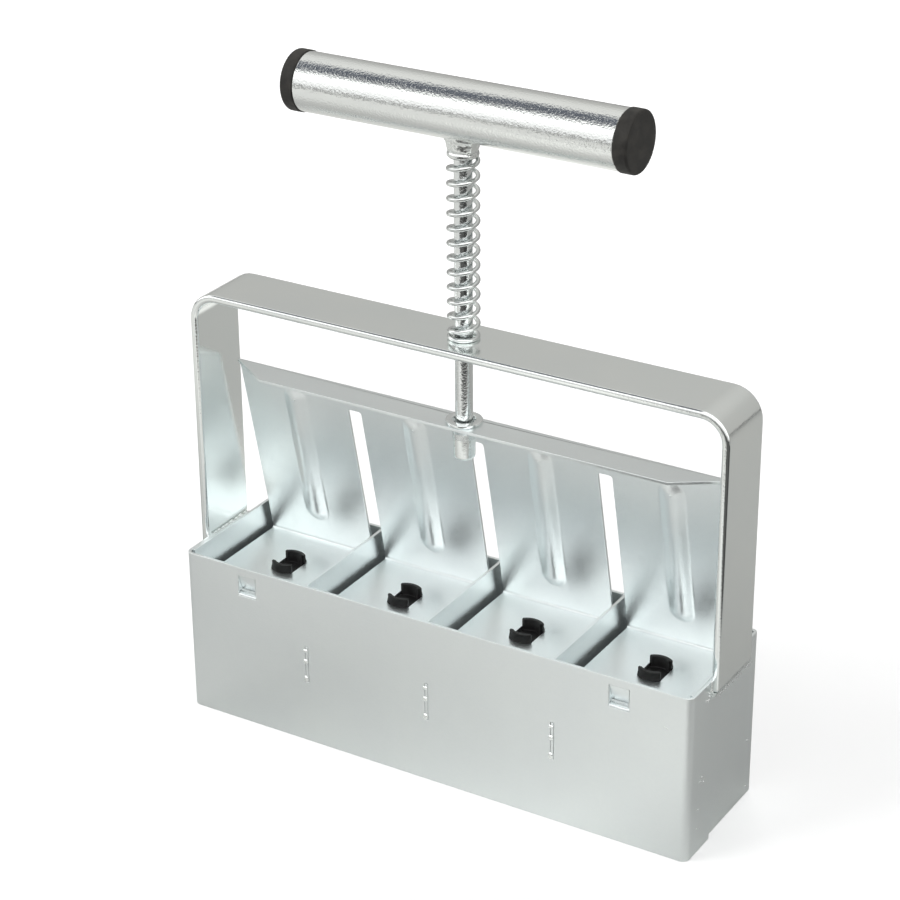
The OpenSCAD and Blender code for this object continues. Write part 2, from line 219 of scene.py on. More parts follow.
def zinc(name, light, dark, rough_low, rough_high, peel, squeeze=(1, 1, 1), peel_scale=GRAIN_SCALE):
    """Zinc plate: two tones, a range of roughness, and the depth of its orange peel in metres."""
    material, tree, shader, place = new_material(name)
    clouds = spread(tree, grain(tree, place, CLOUD_SCALE, squeeze=squeeze), *CLOUD_RANGE)
    rubbed = spread(tree, grain(tree, place, RUB_SCALE, squeeze=squeeze), *RUB_RANGE)
    plate = blend_colour(tree, clouds, light, dark)
    plate = blend_colour(tree, times(tree, rubbed, clouds), plate, dark)
    tree.links.new(plate, shader.inputs["Base Color"])
    tree.links.new(spread(tree, rubbed, 0, 1, rough_low, rough_high), shader.inputs["Roughness"])
    shader.inputs["Metallic"].default_value = 1.0
    bump(tree, shader, grain(tree, place, peel_scale, detail=2), peel)
    return material


ALONG_X = (0.08, 1, 1)
ALONG_Z = (1, 1, 0.08)
sheet_zinc = zinc("zinc_plated_sheet", tone(244, 249, 249), tone(241, 246, 247), 0.31, 0.37, 0.00006)
bar_zinc = zinc("zinc_plated_bar", tone(249, 252, 250), tone(245, 249, 248), 0.10, 0.16, 0.00003)
edge_zinc = zinc("zinc_plated_rolled_edge", tone(238, 241, 240), tone(230, 234, 234), 0.05, 0.09, 0.00003)
tube_zinc = zinc("zinc_plated_tube", tone(241, 243, 241), tone(235, 238, 238), 0.04, 0.07, 0.00012,
                 ALONG_X, ROUND_GRAIN_SCALE)
rod_zinc = zinc("zinc_plated_rod", tone(236, 238, 237), tone(224, 228, 229), 0.06, 0.10, 0.0001,
                ALONG_Z, ROUND_GRAIN_SCALE)
wire_zinc = zinc("zinc_plated_wire", tone(230, 232, 231), tone(214, 218, 218), 0.05, 0.11, 0.00003)
weld_zinc = zinc("zinc_plated_weld", tone(240, 242, 240), tone(224, 228, 228), 0.20, 0.32, 0.00008)
print("zinc materials", [m.name for m in bpy.data.materials if m.name.startswith("zinc")])

# %% [markdown]
# ## Moulded black plastic
# The tube's caps and the snap-in dibbers are black plastic. A moulding is never quite flat black:
# it has a fine matt texture and paler, rubbed patches, so the colour and the roughness both vary.

# %% Plastic material
PATCH_SCALE = 260.0
PATCH_RANGE = (0.42, 0.70)
MATT_SCALE = 2600.0
MATT_DEPTH = 0.00004
MATT_STRENGTH = 0.5
PLASTIC_SHINE = 0.35


def plastic(name, base, rubbed, rough_low, rough_high):
    """Black plastic: a base colour, a paler one for rubbed patches, and a range of roughness."""
    material, tree, shader, place = new_material(name)
    patches = spread(tree, grain(tree, place, PATCH_SCALE, detail=5), *PATCH_RANGE)
    tree.links.new(blend_colour(tree, patches, base, rubbed), shader.inputs["Base Color"])
    tree.links.new(spread(tree, patches, 0, 1, rough_low, rough_high), shader.inputs["Roughness"])
    shader.inputs["Specular IOR Level"].default_value = PLASTIC_SHINE
    bump(tree, shader, grain(tree, place, MATT_SCALE, detail=2), MATT_DEPTH, MATT_STRENGTH)
    return material


cap_black = plastic("moulded_black_cap", tone(33, 32, 30), tone(56, 54, 51), 0.50, 0.68)
dibber_black = plastic("moulded_black_dibber", tone(17, 17, 17), tone(29, 29, 29), 0.42, 0.56)
print("plastic ready")

# %% [markdown]
# ## The side view of a bent sheet
# Most of this tool is thin sheet that was cut flat and then bent. It could be built from bevelled
# boxes, but slots and ribs that lie near a bend are hard to place on those. So the real order is
# kept: first a blank, then its bends. A strip is a side view of the bent sheet, with straight
# stretches and bends, walked from one end with the outer face on the right.

# %% Strip helpers
BEND_STEPS = 8
SAME_LENGTH = 1e-9


def arc(centre, radius, start, end, steps=BEND_STEPS):
    """Points of an arc between two angles in degrees, both ends counted."""
    angles = [math.radians(start + (end - start) * i / steps) for i in range(steps + 1)]
    return [(centre[0] + radius * math.cos(a), centre[1] + radius * math.sin(a)) for a in angles]


def bent_strip(start, heading, stretches):
    """A strip's side view. Each stretch is (length, 0) or (outer radius, left turn in degrees).
    Returns place(s), which gives a point and its outward normal, and where each stretch ends."""
    pieces, ends = [], [0.0]
    point, angle = Vector(start), math.radians(heading)
    for size, turn in stretches:
        turn = math.radians(turn)
        length = size * turn if turn else size
        pieces.append((ends[-1], point.copy(), angle, size, turn))
        if turn:
            centre = point + size * Vector((-math.sin(angle), math.cos(angle)))
            point = centre + size * Vector((math.sin(angle + turn), -math.cos(angle + turn)))
            angle += turn
        else:
            point = point + length * Vector((math.cos(angle), math.sin(angle)))
        ends.append(ends[-1] + length)

    def place(s):
        index = max(i for i in range(len(pieces)) if i == 0 or s >= pieces[i][0] - SAME_LENGTH)
        first, point, angle, size, turn = pieces[index]
        if not turn:
            here = point + (s - first) * Vector((math.cos(angle), math.sin(angle)))
            return here, Vector((math.sin(angle), -math.cos(angle)))
        centre = point + size * Vector((-math.sin(angle), math.cos(angle)))
        now = angle + (s - first) / size
        outward = Vector((math.sin(now), -math.cos(now)))
        return centre + size * outward, outward
    return place, ends


print("a bend has", BEND_STEPS, "steps")

# %% [markdown]
# ## The flat blank
# A blank is an outline with holes. A face with holes could be cut out with booleans, but Blender's
# own triangulator fills such an outline at once. It also takes in lines that the sheet needs points
# along, such as the rows of a bend, and loose points, such as the grid under a pressed rib.

# %% Blank helpers
SAME_POINT = 1e-7


def bend_rows(ends, stretches, low, high):
    """The lines across a blank along which its bends need points."""
    rows = []
    for first, (size, turn) in zip(ends, stretches):
        if turn:
            length = size * math.radians(turn)
            rows += [[(first + length * i / BEND_STEPS, low), (first + length * i / BEND_STEPS, high)]
                     for i in range(BEND_STEPS + 1)]
    return rows


def inside(loops, point):
    """Even-odd test: is the point in the outline and in none of its holes?"""
    x, y = point
    odd = False
    for loop in loops:
        for (x0, y0), (x1, y1) in zip(loop, loop[1:] + loop[:1]):
            if (y0 > y) != (y1 > y) and x < (x1 - x0) * (y - y0) / (y1 - y0) + x0:
                odd = not odd
    return odd


def cut_blank(outline, holes=(), rows=(), extra=()):
    """Fills an outline with triangles that leave its holes free. Returns points and faces."""
    loops = [list(outline)] + [list(h) for h in holes]
    points, edges = [], []
    for loop in loops:
        first = len(points)
        points += [Vector(p) for p in loop]
        edges += [(first + i, first + (i + 1) % len(loop)) for i in range(len(loop))]
    for one, two in rows:
        edges.append((len(points), len(points) + 1))
        points += [Vector(one), Vector(two)]
    points += [Vector(p) for p in extra]
    made = geometry.delaunay_2d_cdt(points, edges, [], 0, SAME_POINT)
    flat, faces = made[0], made[2]
    kept = [f for f in faces if inside(loops, sum((flat[i] for i in f), Vector((0, 0))) / len(f))]
    return flat, kept


print("blank helpers ready")

# %% [markdown]
# ## Folding the blank
# Folding carries each point of the blank to its place on the strip. A Solidify modifier could add
# the sheet's thickness afterwards, but the strip already knows each point's normal. So the inner
# face is made in the same pass, and edges that only one face uses get a wall between the two.

# %% Fold helper
def fold_blank(mesh, blank, shape, thickness):
    """Adds a folded sheet to a bmesh. shape(u, v) gives a point on the outer face and its normal."""
    flat, faces = blank
    used = sorted({i for f in faces for i in f})
    outer, inner = {}, {}
    for i in used:
        point, normal = shape(*flat[i])
        outer[i] = mesh.verts.new(point)
        inner[i] = mesh.verts.new(point - thickness * normal)
    sides = {}
    for f in faces:
        mesh.faces.new([outer[i] for i in f])
        mesh.faces.new([inner[i] for i in reversed(f)])
        for a, b in zip(f, f[1:] + f[:1]):
            sides[(a, b)] = True
    for a, b in sides:
        if (b, a) not in sides:
            mesh.faces.new([outer[a], inner[a], inner[b], outer[b]])


print("fold helper ready")

# %% [markdown]
# ## From a mesh to a piece
# Most other forms here are rings of points with a skin between them: a lip, a weld, a wire. Every
# finished mesh then takes the same last steps. Its normals are made to face out, its cut edges get a
# small bevel, because a cut edge on real sheet is never knife sharp and catches the light, and it
# gets a body to ride on, a finish, and the CAD nodes that it stands for.

# %% Piece helpers
CUT_ANGLE = math.radians(50)
CUT_SEGMENTS = 2
ROLLED_SEGMENTS = 6


def join_rings(mesh, rings, capped=True):
    """Skins a row of rings that have equally many points, and closes the first and the last."""
    for one, two in zip(rings, rings[1:]):
        for i in range(len(one)):
            j = (i + 1) % len(one)
            mesh.faces.new((one[i], one[j], two[j], two[i]))
    if capped:
        mesh.faces.new(list(reversed(rings[0])))
        mesh.faces.new(rings[-1])


def finish_piece(name, mesh, body, material, replaced=(), edge=0.0, sharp=35.0, rolled=None):
    """Turns a bmesh into a piece: tidy normals, a rounded cut edge, a body to ride on and a finish.
    With a rolled material, only weighted edges are rounded, and the rounding has that finish."""
    bmesh.ops.recalc_face_normals(mesh, faces=mesh.faces)
    data = bpy.data.meshes.new(name)
    mesh.to_mesh(data)
    mesh.free()
    piece = bpy.data.objects.new(name, data)
    scene.collection.objects.link(piece)
    data.polygons.foreach_set("use_smooth", [True] * len(data.polygons))
    data.set_sharp_from_angle(angle=math.radians(sharp))
    if edge:
        rounding = piece.modifiers.new("cut_edge", "BEVEL")
        rounding.width = edge
        rounding.segments = ROLLED_SEGMENTS if rolled else CUT_SEGMENTS
        rounding.limit_method = "WEIGHT" if rolled else "ANGLE"
        rounding.angle_limit = CUT_ANGLE
        rounding.use_clamp_overlap = False
        rounding.harden_normals = True
    data.materials.append(material)
    if rolled:
        data.materials.append(rolled)
        rounding.material = 1
    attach(piece, body)
    if replaced:
        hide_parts(*replaced)
    print(name, len(data.vertices), "points")
    return piece


print("piece helpers ready")

# %% [markdown]
# ## The box's front panel
# One strip of sheet makes the front wall and two short returns that lap over the ends. It has three
# slots for the dividers' tabs, and two windows whose tongues are pushed into the end cells: the
# press plates come up against them. The strip is worked out here, and cut and bent in the next cell.

# %% Front panel
SHEET = 1.2 * MM
FRONT_CORNER = 3 * MM
CUT_EDGE = 0.22 * MM
ROW_MARGIN = 1 * MM
TAB_SLOT_W = 1.4 * MM
TAB_SLOT_H = 14.8 * MM
front_low, front_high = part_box("front_panel")
box_height = front_high.z


def middle_x(name):
    low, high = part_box(name)
    return (low.x + high.x) / 2


def rectangle(x0, y0, x1, y1):
    return [(x0, y0), (x1, y0), (x1, y1), (x0, y1)]


def tab_slots(wall_start, low_x):
    """The three slots that the dividers' tabs fill, in a blank whose wall starts at low_x."""
    centre = box_height / 2
    return [rectangle(wall_start + x - low_x - TAB_SLOT_W / 2, centre - TAB_SLOT_H / 2,
                      wall_start + x - low_x + TAB_SLOT_W / 2, centre + TAB_SLOT_H / 2) for x in divider_x]


def standing(strip_at):
    """A strip seen from above, standing on the ground."""
    def shape(s, height):
        point, normal = strip_at(s)
        return Vector((point.x, point.y, height)), Vector((normal.x, normal.y, 0))
    return shape


cell_x = [middle_x(f"dibber_{i}") for i in (1, 2, 3, 4)]
divider_x = [middle_x(f"divider_{i}") for i in (1, 2, 3)]
return_l = front_high.y - front_low.y - FRONT_CORNER
wall_l = front_high.x - front_low.x - 2 * FRONT_CORNER
front_bends = [(return_l, 0), (FRONT_CORNER, 90), (wall_l, 0), (FRONT_CORNER, 90), (return_l, 0)]
front_at, front_ends = bent_strip((front_low.x, front_high.y), -90, front_bends)
front_wall_low = front_low.x + FRONT_CORNER
front_rows = bend_rows(front_ends, front_bends, -ROW_MARGIN, box_height + ROW_MARGIN)
print("front blank", round(front_ends[-1] / MM, 1), "by", round(box_height / MM, 1), "mm")

# %% [markdown]
# ## The stops in the front wall
# A stop is cut on three sides and pushed in, so it hangs from its upper edge like a tongue. A short
# strip with one bend makes it. The sides of its window were stretched by the punch, so each is a
# thin wedge, and the lower edge of the window is a small round lip that catches the light.

# %% Stops
STOP_W = 7.6 * MM
STOP_L = 7.6 * MM
STOP_TOP = box_height - 3 * MM
STOP_LEAN = 20.0
STOP_FOLD = 1.6 * MM
STOP_GAP = 0.1 * MM
STOP_SIDE = 0.35 * MM
LIP_H = 1.1 * MM
LIP_DEPTH = 2.0 * MM
LIP_ROUND = 0.9 * MM
WEDGE_STEPS = 6
stop_x = (cell_x[0], cell_x[3])
lip_low = STOP_TOP - STOP_L - LIP_H
windows = [rectangle(front_ends[2] + x - front_wall_low - STOP_W / 2 - STOP_GAP, lip_low,
                     front_ends[2] + x - front_wall_low + STOP_W / 2 + STOP_GAP, STOP_TOP) for x in stop_x]
tongue_bends = [(STOP_FOLD, STOP_LEAN), (STOP_L - STOP_FOLD * math.radians(STOP_LEAN), 0)]
tongue_at, tongue_ends = bent_strip((front_low.y, STOP_TOP), -90, tongue_bends)


def seen_from_the_end(strip_at):
    """A strip seen along X: its side view gives Y and Z."""
    def shape(s, x):
        point, normal = strip_at(s)
        return Vector((x, point.x, point.y)), Vector((0, normal.x, normal.y))
    return shape


def bar_along_x(mesh, side, x0, x1):
    """A straight bar along X, with a side view in Y and Z."""
    join_rings(mesh, [[mesh.verts.new((x, y, z)) for y, z in side] for x in (x0, x1)])


def rolled_lip(mesh, x):
    """A round-edged ledge along the lower edge of a window."""
    outer_y = front_low.y
    side = [(outer_y, lip_low), (outer_y + LIP_DEPTH, lip_low), (outer_y + LIP_DEPTH, lip_low + LIP_H)]
    side += arc((outer_y + LIP_ROUND, lip_low + LIP_H - LIP_ROUND), LIP_ROUND, 90, 180)
    bar_along_x(mesh, side, x - STOP_W / 2 - STOP_GAP, x + STOP_W / 2 + STOP_GAP)


def window_side(mesh, x, inward):
    """The stretched side of a stop's window: a thin wedge from the wall's face to the tongue."""
    wedge = [tuple(tongue_at(tongue_ends[-1] * i / WEDGE_STEPS)[0]) for i in range(WEDGE_STEPS + 1)]
    bar_along_x(mesh, wedge + [(front_low.y, wedge[-1][1])], x, x + inward)


mesh = bmesh.new()
front_holes = windows + tab_slots(front_ends[2], front_wall_low)
fold_blank(mesh, cut_blank(rectangle(0, 0, front_ends[-1], box_height), front_holes, front_rows),
           standing(front_at), SHEET)
for x in stop_x:
    for side in (-1, 1):
        window_side(mesh, x + side * (STOP_W / 2 + STOP_GAP), -side * STOP_SIDE)
    tongue = cut_blank(rectangle(0, x - STOP_W / 2, tongue_ends[-1], x + STOP_W / 2), (),
                       bend_rows(tongue_ends, tongue_bends, x - STOP_W, x + STOP_W))
    fold_blank(mesh, tongue, seen_from_the_end(tongue_at), SHEET)
    rolled_lip(mesh, x)
finish_piece("front_wall", mesh, "mould", sheet_zinc, ["front_panel"], CUT_EDGE)

# %% [markdown]
# ## The back panel and the dividers
# The back panel is bent the same way, with longer ends that lie inside the front panel's returns.
# Each divider is a flat plate with a tab at the front and at the back, which fills its slot. Three
# joined boxes would do for it, but a blank that isn't bent gets the same soft cut edges as the rest.

# %% Back panel and dividers
REAR_CORNER = 2 * MM
TAB_PLAY = 0.2 * MM
rear_low, rear_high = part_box("rear_panel")
end_l = rear_high.y - rear_low.y - REAR_CORNER
back_l = rear_high.x - rear_low.x - 2 * REAR_CORNER
rear_bends = [(end_l, 0), (REAR_CORNER, 90), (back_l, 0), (REAR_CORNER, 90), (end_l, 0)]
rear_at, rear_ends = bent_strip((rear_high.x, rear_low.y), 90, rear_bends)
rear_rows = bend_rows(rear_ends, rear_bends, -ROW_MARGIN, box_height + ROW_MARGIN)
# The back strip runs from right to left, so the slots' places along it are mirrored.
rear_holes = [[(2 * rear_ends[2] + back_l - s, z) for s, z in reversed(slot)]
              for slot in tab_slots(rear_ends[2], rear_low.x + REAR_CORNER)]
mesh = bmesh.new()
fold_blank(mesh, cut_blank(rectangle(0, 0, rear_ends[-1], box_height), rear_holes, rear_rows),
           standing(rear_at), SHEET)
finish_piece("back_wall", mesh, "mould", sheet_zinc, ["rear_panel"], CUT_EDGE)

tab_half = (TAB_SLOT_H - TAB_PLAY) / 2
inner_y = rear_high.y - SHEET
for i in (1, 2, 3):
    low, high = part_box(f"divider_{i}")
    middle = box_height / 2
    half = [(inner_y, 0), (inner_y, middle - tab_half), (high.y, middle - tab_half),
            (high.y, middle + tab_half), (inner_y, middle + tab_half), (inner_y, box_height)]
    outline = half + [(-y, z) for y, z in reversed(half)]
    mesh = bmesh.new()
    fold_blank(mesh, cut_blank(outline), lambda y, z: (Vector((high.x, y, z)), Vector((1, 0, 0))), SHEET)
    finish_piece(f"divider_plate_{i}", mesh, "mould", sheet_zinc, [f"divider_{i}"], CUT_EDGE)

# %% [markdown]
# ## The bridge
# The bridge is one flat bar with two round bends. Rolled bar has round edges: in the photograph
# they mirror the whole studio in four thin lines, dark and white. So each long edge gets a weight,
# and the bevel turns the weighted edges into a half round with a smoother finish. The guide hole
# gets a small weight, for a soft rim.

# %% Bridge
BAR = 3 * MM
BAR_BEND = 11 * MM
BAR_EDGE = 1.25 * MM
HOLE_RIM = 0.15
GUIDE_HOLE = 7 * MM
HOLE_STEPS = 40
NEAR = 0.01 * MM
bridge_low, bridge_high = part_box("bridge")
leg_l = bridge_high.z - bridge_low.z - BAR_BEND
top_l = bridge_high.x - bridge_low.x - 2 * BAR_BEND
bridge_bends = [(leg_l, 0), (BAR_BEND, 90), (top_l, 0), (BAR_BEND, 90), (leg_l, 0)]
bridge_at, bridge_ends = bent_strip((bridge_high.x, bridge_low.z), 90, bridge_bends)


def seen_from_the_front(strip_at):
    """A strip seen along Y: its side view gives X and Z."""
    def shape(s, y):
        point, normal = strip_at(s)
        return Vector((point.x, y, point.y)), Vector((normal.x, 0, normal.y))
    return shape


def round_hole(centre, radius):
    return arc(centre, radius, 0, 360, HOLE_STEPS)[:-1]


mesh = bmesh.new()
guide = round_hole((bridge_ends[-1] / 2, 0), GUIDE_HOLE / 2)
bar_outline = rectangle(0, bridge_low.y, bridge_ends[-1], bridge_high.y)
bar_rows = bend_rows(bridge_ends, bridge_bends, bridge_low.y - BAR, bridge_high.y + BAR)
fold_blank(mesh, cut_blank(bar_outline, [guide], bar_rows), seen_from_the_front(bridge_at), BAR)
bmesh.ops.recalc_face_normals(mesh, faces=mesh.faces)
weights = mesh.edges.layers.float.new("bevel_weight_edge")
for edge in mesh.edges:
    if edge.calc_face_angle(0) > CUT_ANGLE:
        a, b = (v.co for v in edge.verts)
        if min(abs(a.y), abs(b.y)) > bridge_high.y - NEAR:
            edge[weights] = 1.0
        elif max(a.xy.length, b.xy.length) < GUIDE_HOLE:
            edge[weights] = HOLE_RIM
finish_piece("bridge_bar", mesh, "mould", bar_zinc, ["bridge"], BAR_EDGE, rolled=edge_zinc)

# %% [markdown]
# ## The ejector
# One sheet makes the flange, four leaning fins and the four press plates at their feet. Its side
# view is a strip with two folds: from the plates' front edge to the back, up the lean of the fins,
# and forward over the top. The lean follows from the CAD box, so the sheet fits between its corners.

# %% Ejector strip
FOLD_INNER = 1.4 * MM
FOOT_FOLD_INNER = 1.0 * MM
WASHER_RIM = 0.2 * MM
ejector_low, ejector_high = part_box("ejector")
washer_low, washer_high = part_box("rod_washer")
flange_y = washer_high.y + WASHER_RIM
fold_outer = FOLD_INNER + SHEET
foot_fold_outer = FOOT_FOLD_INNER + SHEET
lean = math.atan2(ejector_high.y - flange_y, ejector_high.z - ejector_low.z)


def fold_run(radius, turn):
    """How far before a sharp corner a round fold starts."""
    return radius * math.tan(turn / 2)


foot_run = fold_run(foot_fold_outer, math.pi / 2 + lean)
top_run = fold_run(fold_outer, math.pi / 2 - lean)
fin_l = (ejector_high.z - ejector_low.z) / math.cos(lean) - foot_run - top_run
plate_l = ejector_high.y - foot_run - ejector_low.y
flange_l = 2 * flange_y - top_run
lean_degrees = math.degrees(lean)
ejector_bends = [(plate_l, 0), (foot_fold_outer, 90 + lean_degrees), (fin_l, 0),
                 (fold_outer, 90 - lean_degrees), (flange_l, 0)]
ejector_at, ejector_ends = bent_strip((ejector_low.y, ejector_low.z), 0, ejector_bends)


def along_fin(height):
    """The distance along the strip at which a fin's back reaches a height."""
    top_of_fin = ejector_at(ejector_ends[3])[0].y
    return ejector_ends[3] - (top_of_fin - height) / math.cos(lean)


print("the fins lean", round(lean_degrees, 1), "degrees")

# %% [markdown]
# ## The pressed ribs
# A long rib is pressed into each fin to stiffen it. It could be a bump in the material, but its edge
# breaks the mirrored studio and shows from behind, so it is real shape: each point of the sheet
# moves out by a height that depends on how far it lies from the rib's crest.

# %% Ribs
RIB_HALF_W = 5.2 * MM
RIB_H = 2 * MM
RIB_DROP = 11.6 * MM
RIB_L = 52 * MM
RIB_FLANK = 1.5
RIB_TOP_SHARE = 0.55
RIB_TAPER = 22 * MM
rib_top = along_fin(ejector_high.z - RIB_DROP)


def rib_height(s, x):
    """Height of the nearest rib's pressed surface above its fin."""
    nearest = min(cell_x, key=lambda c: abs(c - x))
    along = min(max(s, rib_top - RIB_L), rib_top)
    share = math.hypot(x - nearest, s - along) / RIB_HALF_W
    if share >= 1:
        return 0.0
    deep = min(1, RIB_TOP_SHARE + (1 - RIB_TOP_SHARE) * max(0, rib_top + RIB_HALF_W - s) / RIB_TAPER)
    return deep * RIB_H * (1 - share * share) ** RIB_FLANK


def pressed(s, x):
    """The ejector's outer face, pushed in where a rib is."""
    point, normal = ejector_at(s)
    out = Vector((0, normal.x, normal.y))
    return Vector((x, point.x, point.y)) - rib_height(s, x) * out, out


print("rib height near its top", round(rib_height(rib_top, cell_x[0]) / MM, 2), "mm")

# %% [markdown]
# ## Slots and keyed holes
# Three slots part the fins so that they can pass the dividers, and the flange's ends are mitred. Each
# press plate has a round hole with two flats, which keeps its dibber from turning. All of them
# could be cut with booleans after the bend, but in the flat blank they are plain outlines.

# %% Slots and keyed holes
FLANGE_MITRE = 17.5 * MM
SLOT_W = 5.6 * MM
SLOT_DROP = 11 * MM
SLOT_ROUND = 1.2 * MM
SLOT_STEPS = 5
KEY_L = 13.2 * MM
KEY_W = 8.8 * MM
KEY_STEPS = 20
ROD_HOLE = 6.9 * MM


def key_hole(centre):
    """A round hole with two flats, as the keyed holes in the press plates have."""
    half = math.degrees(math.acos(KEY_W / KEY_L))
    front = arc((0, 0), KEY_L / 2, -180 + half, -half, KEY_STEPS)
    back = arc((0, 0), KEY_L / 2, half, 180 - half, KEY_STEPS)
    return [(centre[0] + y, centre[1] + x) for x, y in front + back]


half_l = ejector_high.x
slot_top = along_fin(ejector_high.z - SLOT_DROP)
outline = [(0, -half_l)]
for x in divider_x:
    outline += [(0, x - SLOT_W / 2)]
    outline += arc((slot_top - SLOT_ROUND, x - SLOT_W / 2 + SLOT_ROUND), SLOT_ROUND, -90, 0, SLOT_STEPS)
    outline += arc((slot_top - SLOT_ROUND, x + SLOT_W / 2 - SLOT_ROUND), SLOT_ROUND, 0, 90, SLOT_STEPS)
    outline += [(0, x + SLOT_W / 2)]
outline += [(0, half_l), (ejector_ends[4], half_l), (ejector_ends[5], half_l - FLANGE_MITRE),
            (ejector_ends[5], FLANGE_MITRE - half_l), (ejector_ends[4], -half_l)]
plate_middle = -ejector_low.y
holes = [key_hole((plate_middle, x)) for x in cell_x]
holes.append(round_hole((ejector_ends[5] - flange_y, 0), ROD_HOLE / 2))
print("ejector blank", round(ejector_ends[5] / MM, 1), "by", round(2 * half_l / MM, 1), "mm")

# %% [markdown]
# ## The ejector's mesh
# Flat sheet needs few points, but a rib needs many. A fine mesh all over would be slow to load, so
# only the part of the blank under each rib gets a close grid of points before the sheet is folded.

# %% Ejector
RIB_GRID = 0.5 * MM
RIB_MARGIN = 1.3 * RIB_HALF_W
RIB_SHARP = 55
grid = []
steps_up = int((RIB_L + 2 * RIB_MARGIN) / RIB_GRID)
steps_across = int(2 * RIB_MARGIN / RIB_GRID)
for x in cell_x:
    for i in range(steps_up + 1):
        for j in range(steps_across + 1):
            grid.append((rib_top + RIB_MARGIN - i * RIB_GRID, x + (j - steps_across / 2) * RIB_GRID))
mesh = bmesh.new()
rows = bend_rows(ejector_ends, ejector_bends, -half_l - SHEET, half_l + SHEET)
fold_blank(mesh, cut_blank(outline, holes, rows, grid), pressed, SHEET)
finish_piece("ejector_sheet", mesh, "plunger", sheet_zinc, ["ejector"], CUT_EDGE,
             sharp=RIB_SHARP)

# %% [markdown]
# ## Turned parts
# The rod, the washer, the sleeve, the tube and its caps are all round, so each is a profile that
# is spun about an axis. Chamfers and soft edges are points of the profile. A weld is spun too, and
# is pushed in and out by noise on the way, because a weld is never quite round.

# %% Turning helpers
ROUND_STEPS = 96
EDGE_STEPS = 6
LUMP_STEP = 0.35 * MM
LUMP_NOISE = (0.9, 2.1, 3)


def finer(profile, step):
    """The same profile with extra points, so that lumps have something to move."""
    points = []
    for a, b in zip(profile, profile[1:] + profile[:1]):
        count = max(1, math.ceil(math.dist(a, b) / step))
        points += [tuple(p + (q - p) * i / count for p, q in zip(a, b)) for i in range(count)]
    return points


def turned(profile, closed, centre=(0, 0, 0), axis="Z", lumps=0.0, lump_size=1.0):
    """Spins (radius, height) points about an axis. A closed profile makes a ring or a tube, and an
    open one gets a flat disc at each end."""
    mesh = bmesh.new()
    if lumps:
        profile = finer(profile, LUMP_STEP)
    rings = []
    for radius, height in profile:
        ring = []
        for i in range(ROUND_STEPS):
            a = 2 * math.pi * i / ROUND_STEPS
            out = Vector((math.cos(a), math.sin(a), 0))
            up = Vector((0, 0, height))
            swell = 1.0
            if lumps:
                swell += lumps * noise.fractal((out * radius + up) / lump_size, *LUMP_NOISE)
            p = out * radius * swell + up
            if axis == "X":
                p = Vector((p.z, p.x, p.y))
            ring.append(mesh.verts.new(p + Vector(centre)))
        rings.append(ring)
    join_rings(mesh, rings + rings[:1] if closed else rings, capped=not closed)
    return mesh


def rounded_end(radius, height, edge, up):
    """The profile points of a soft outer edge, from the flat end to the side or back."""
    if up:
        return arc((radius - edge, height - edge), edge, 0, 90, EDGE_STEPS)
    return arc((radius - edge, height + edge), edge, -90, 0, EDGE_STEPS)


print("turning helpers ready")

# %% [markdown]
# ## Rod, washer and sleeve
# A drawn rod carries the ejector. A washer lies on the flange where the rod goes through, and under
# the flange a short sleeve with a closed foot holds the rod's lower end. An open profile gets a flat
# disc at each end, which closes the rod's ends and the sleeve's foot. The washer's profile goes all
# the way round and makes a ring.

# %% Rod, washer and sleeve
ROD_EDGE = 0.5 * MM
WASHER_BORE = 8.2 * MM
WASHER_EDGE = 0.3 * MM
WASHER_STEPS = 4
SLEEVE_EDGE = 1.4 * MM
SLEEVE_FLOOR = 1.4 * MM
SLEEVE_BORE = 6.5 * MM
SLEEVE_AXIS = 0.2 * MM
rod_low, rod_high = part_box("plunger_rod")
rod_r = (rod_high.x - rod_low.x) / 2
rod_profile = rounded_end(rod_r, rod_low.z, ROD_EDGE, False) + rounded_end(rod_r, rod_high.z, ROD_EDGE, True)
finish_piece("push_rod", turned(rod_profile, False), "plunger", rod_zinc, ["plunger_rod"])
washer_r = (washer_high.x - washer_low.x) / 2
bore = WASHER_BORE / 2
inner_top = arc((bore + WASHER_EDGE, washer_high.z - WASHER_EDGE), WASHER_EDGE, 90, 180, WASHER_STEPS)
washer_profile = (rounded_end(washer_r, washer_low.z, WASHER_EDGE, False)
                  + rounded_end(washer_r, washer_high.z, WASHER_EDGE, True)
                  + inner_top + [(bore, washer_low.z)])
finish_piece("flange_washer", turned(washer_profile, True), "plunger", edge_zinc, ["rod_washer"])
sleeve_low, sleeve_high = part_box("rod_sleeve")
sleeve_r = (sleeve_high.x - sleeve_low.x) / 2
sleeve_floor = sleeve_low.z + SLEEVE_FLOOR
sleeve_profile = ([(SLEEVE_AXIS, sleeve_low.z)] + rounded_end(sleeve_r, sleeve_low.z, SLEEVE_EDGE, False)
                  + [(sleeve_r, sleeve_high.z), (SLEEVE_BORE / 2, sleeve_high.z),
                     (SLEEVE_BORE / 2, sleeve_floor), (SLEEVE_AXIS, sleeve_floor)])
finish_piece("sleeve", turned(sleeve_profile, False), "plunger", bar_zinc, ["rod_sleeve"])

# %% [markdown]
# ## The handle
# The tube is open at both ends, with a small chamfer on its rims, and a cap is pushed into each
# end. A cap's head is a little wider than the tube, with a soft outer edge. Cylinders with bevels
# would come close, but a spun profile has each chamfer and curve at its own size.

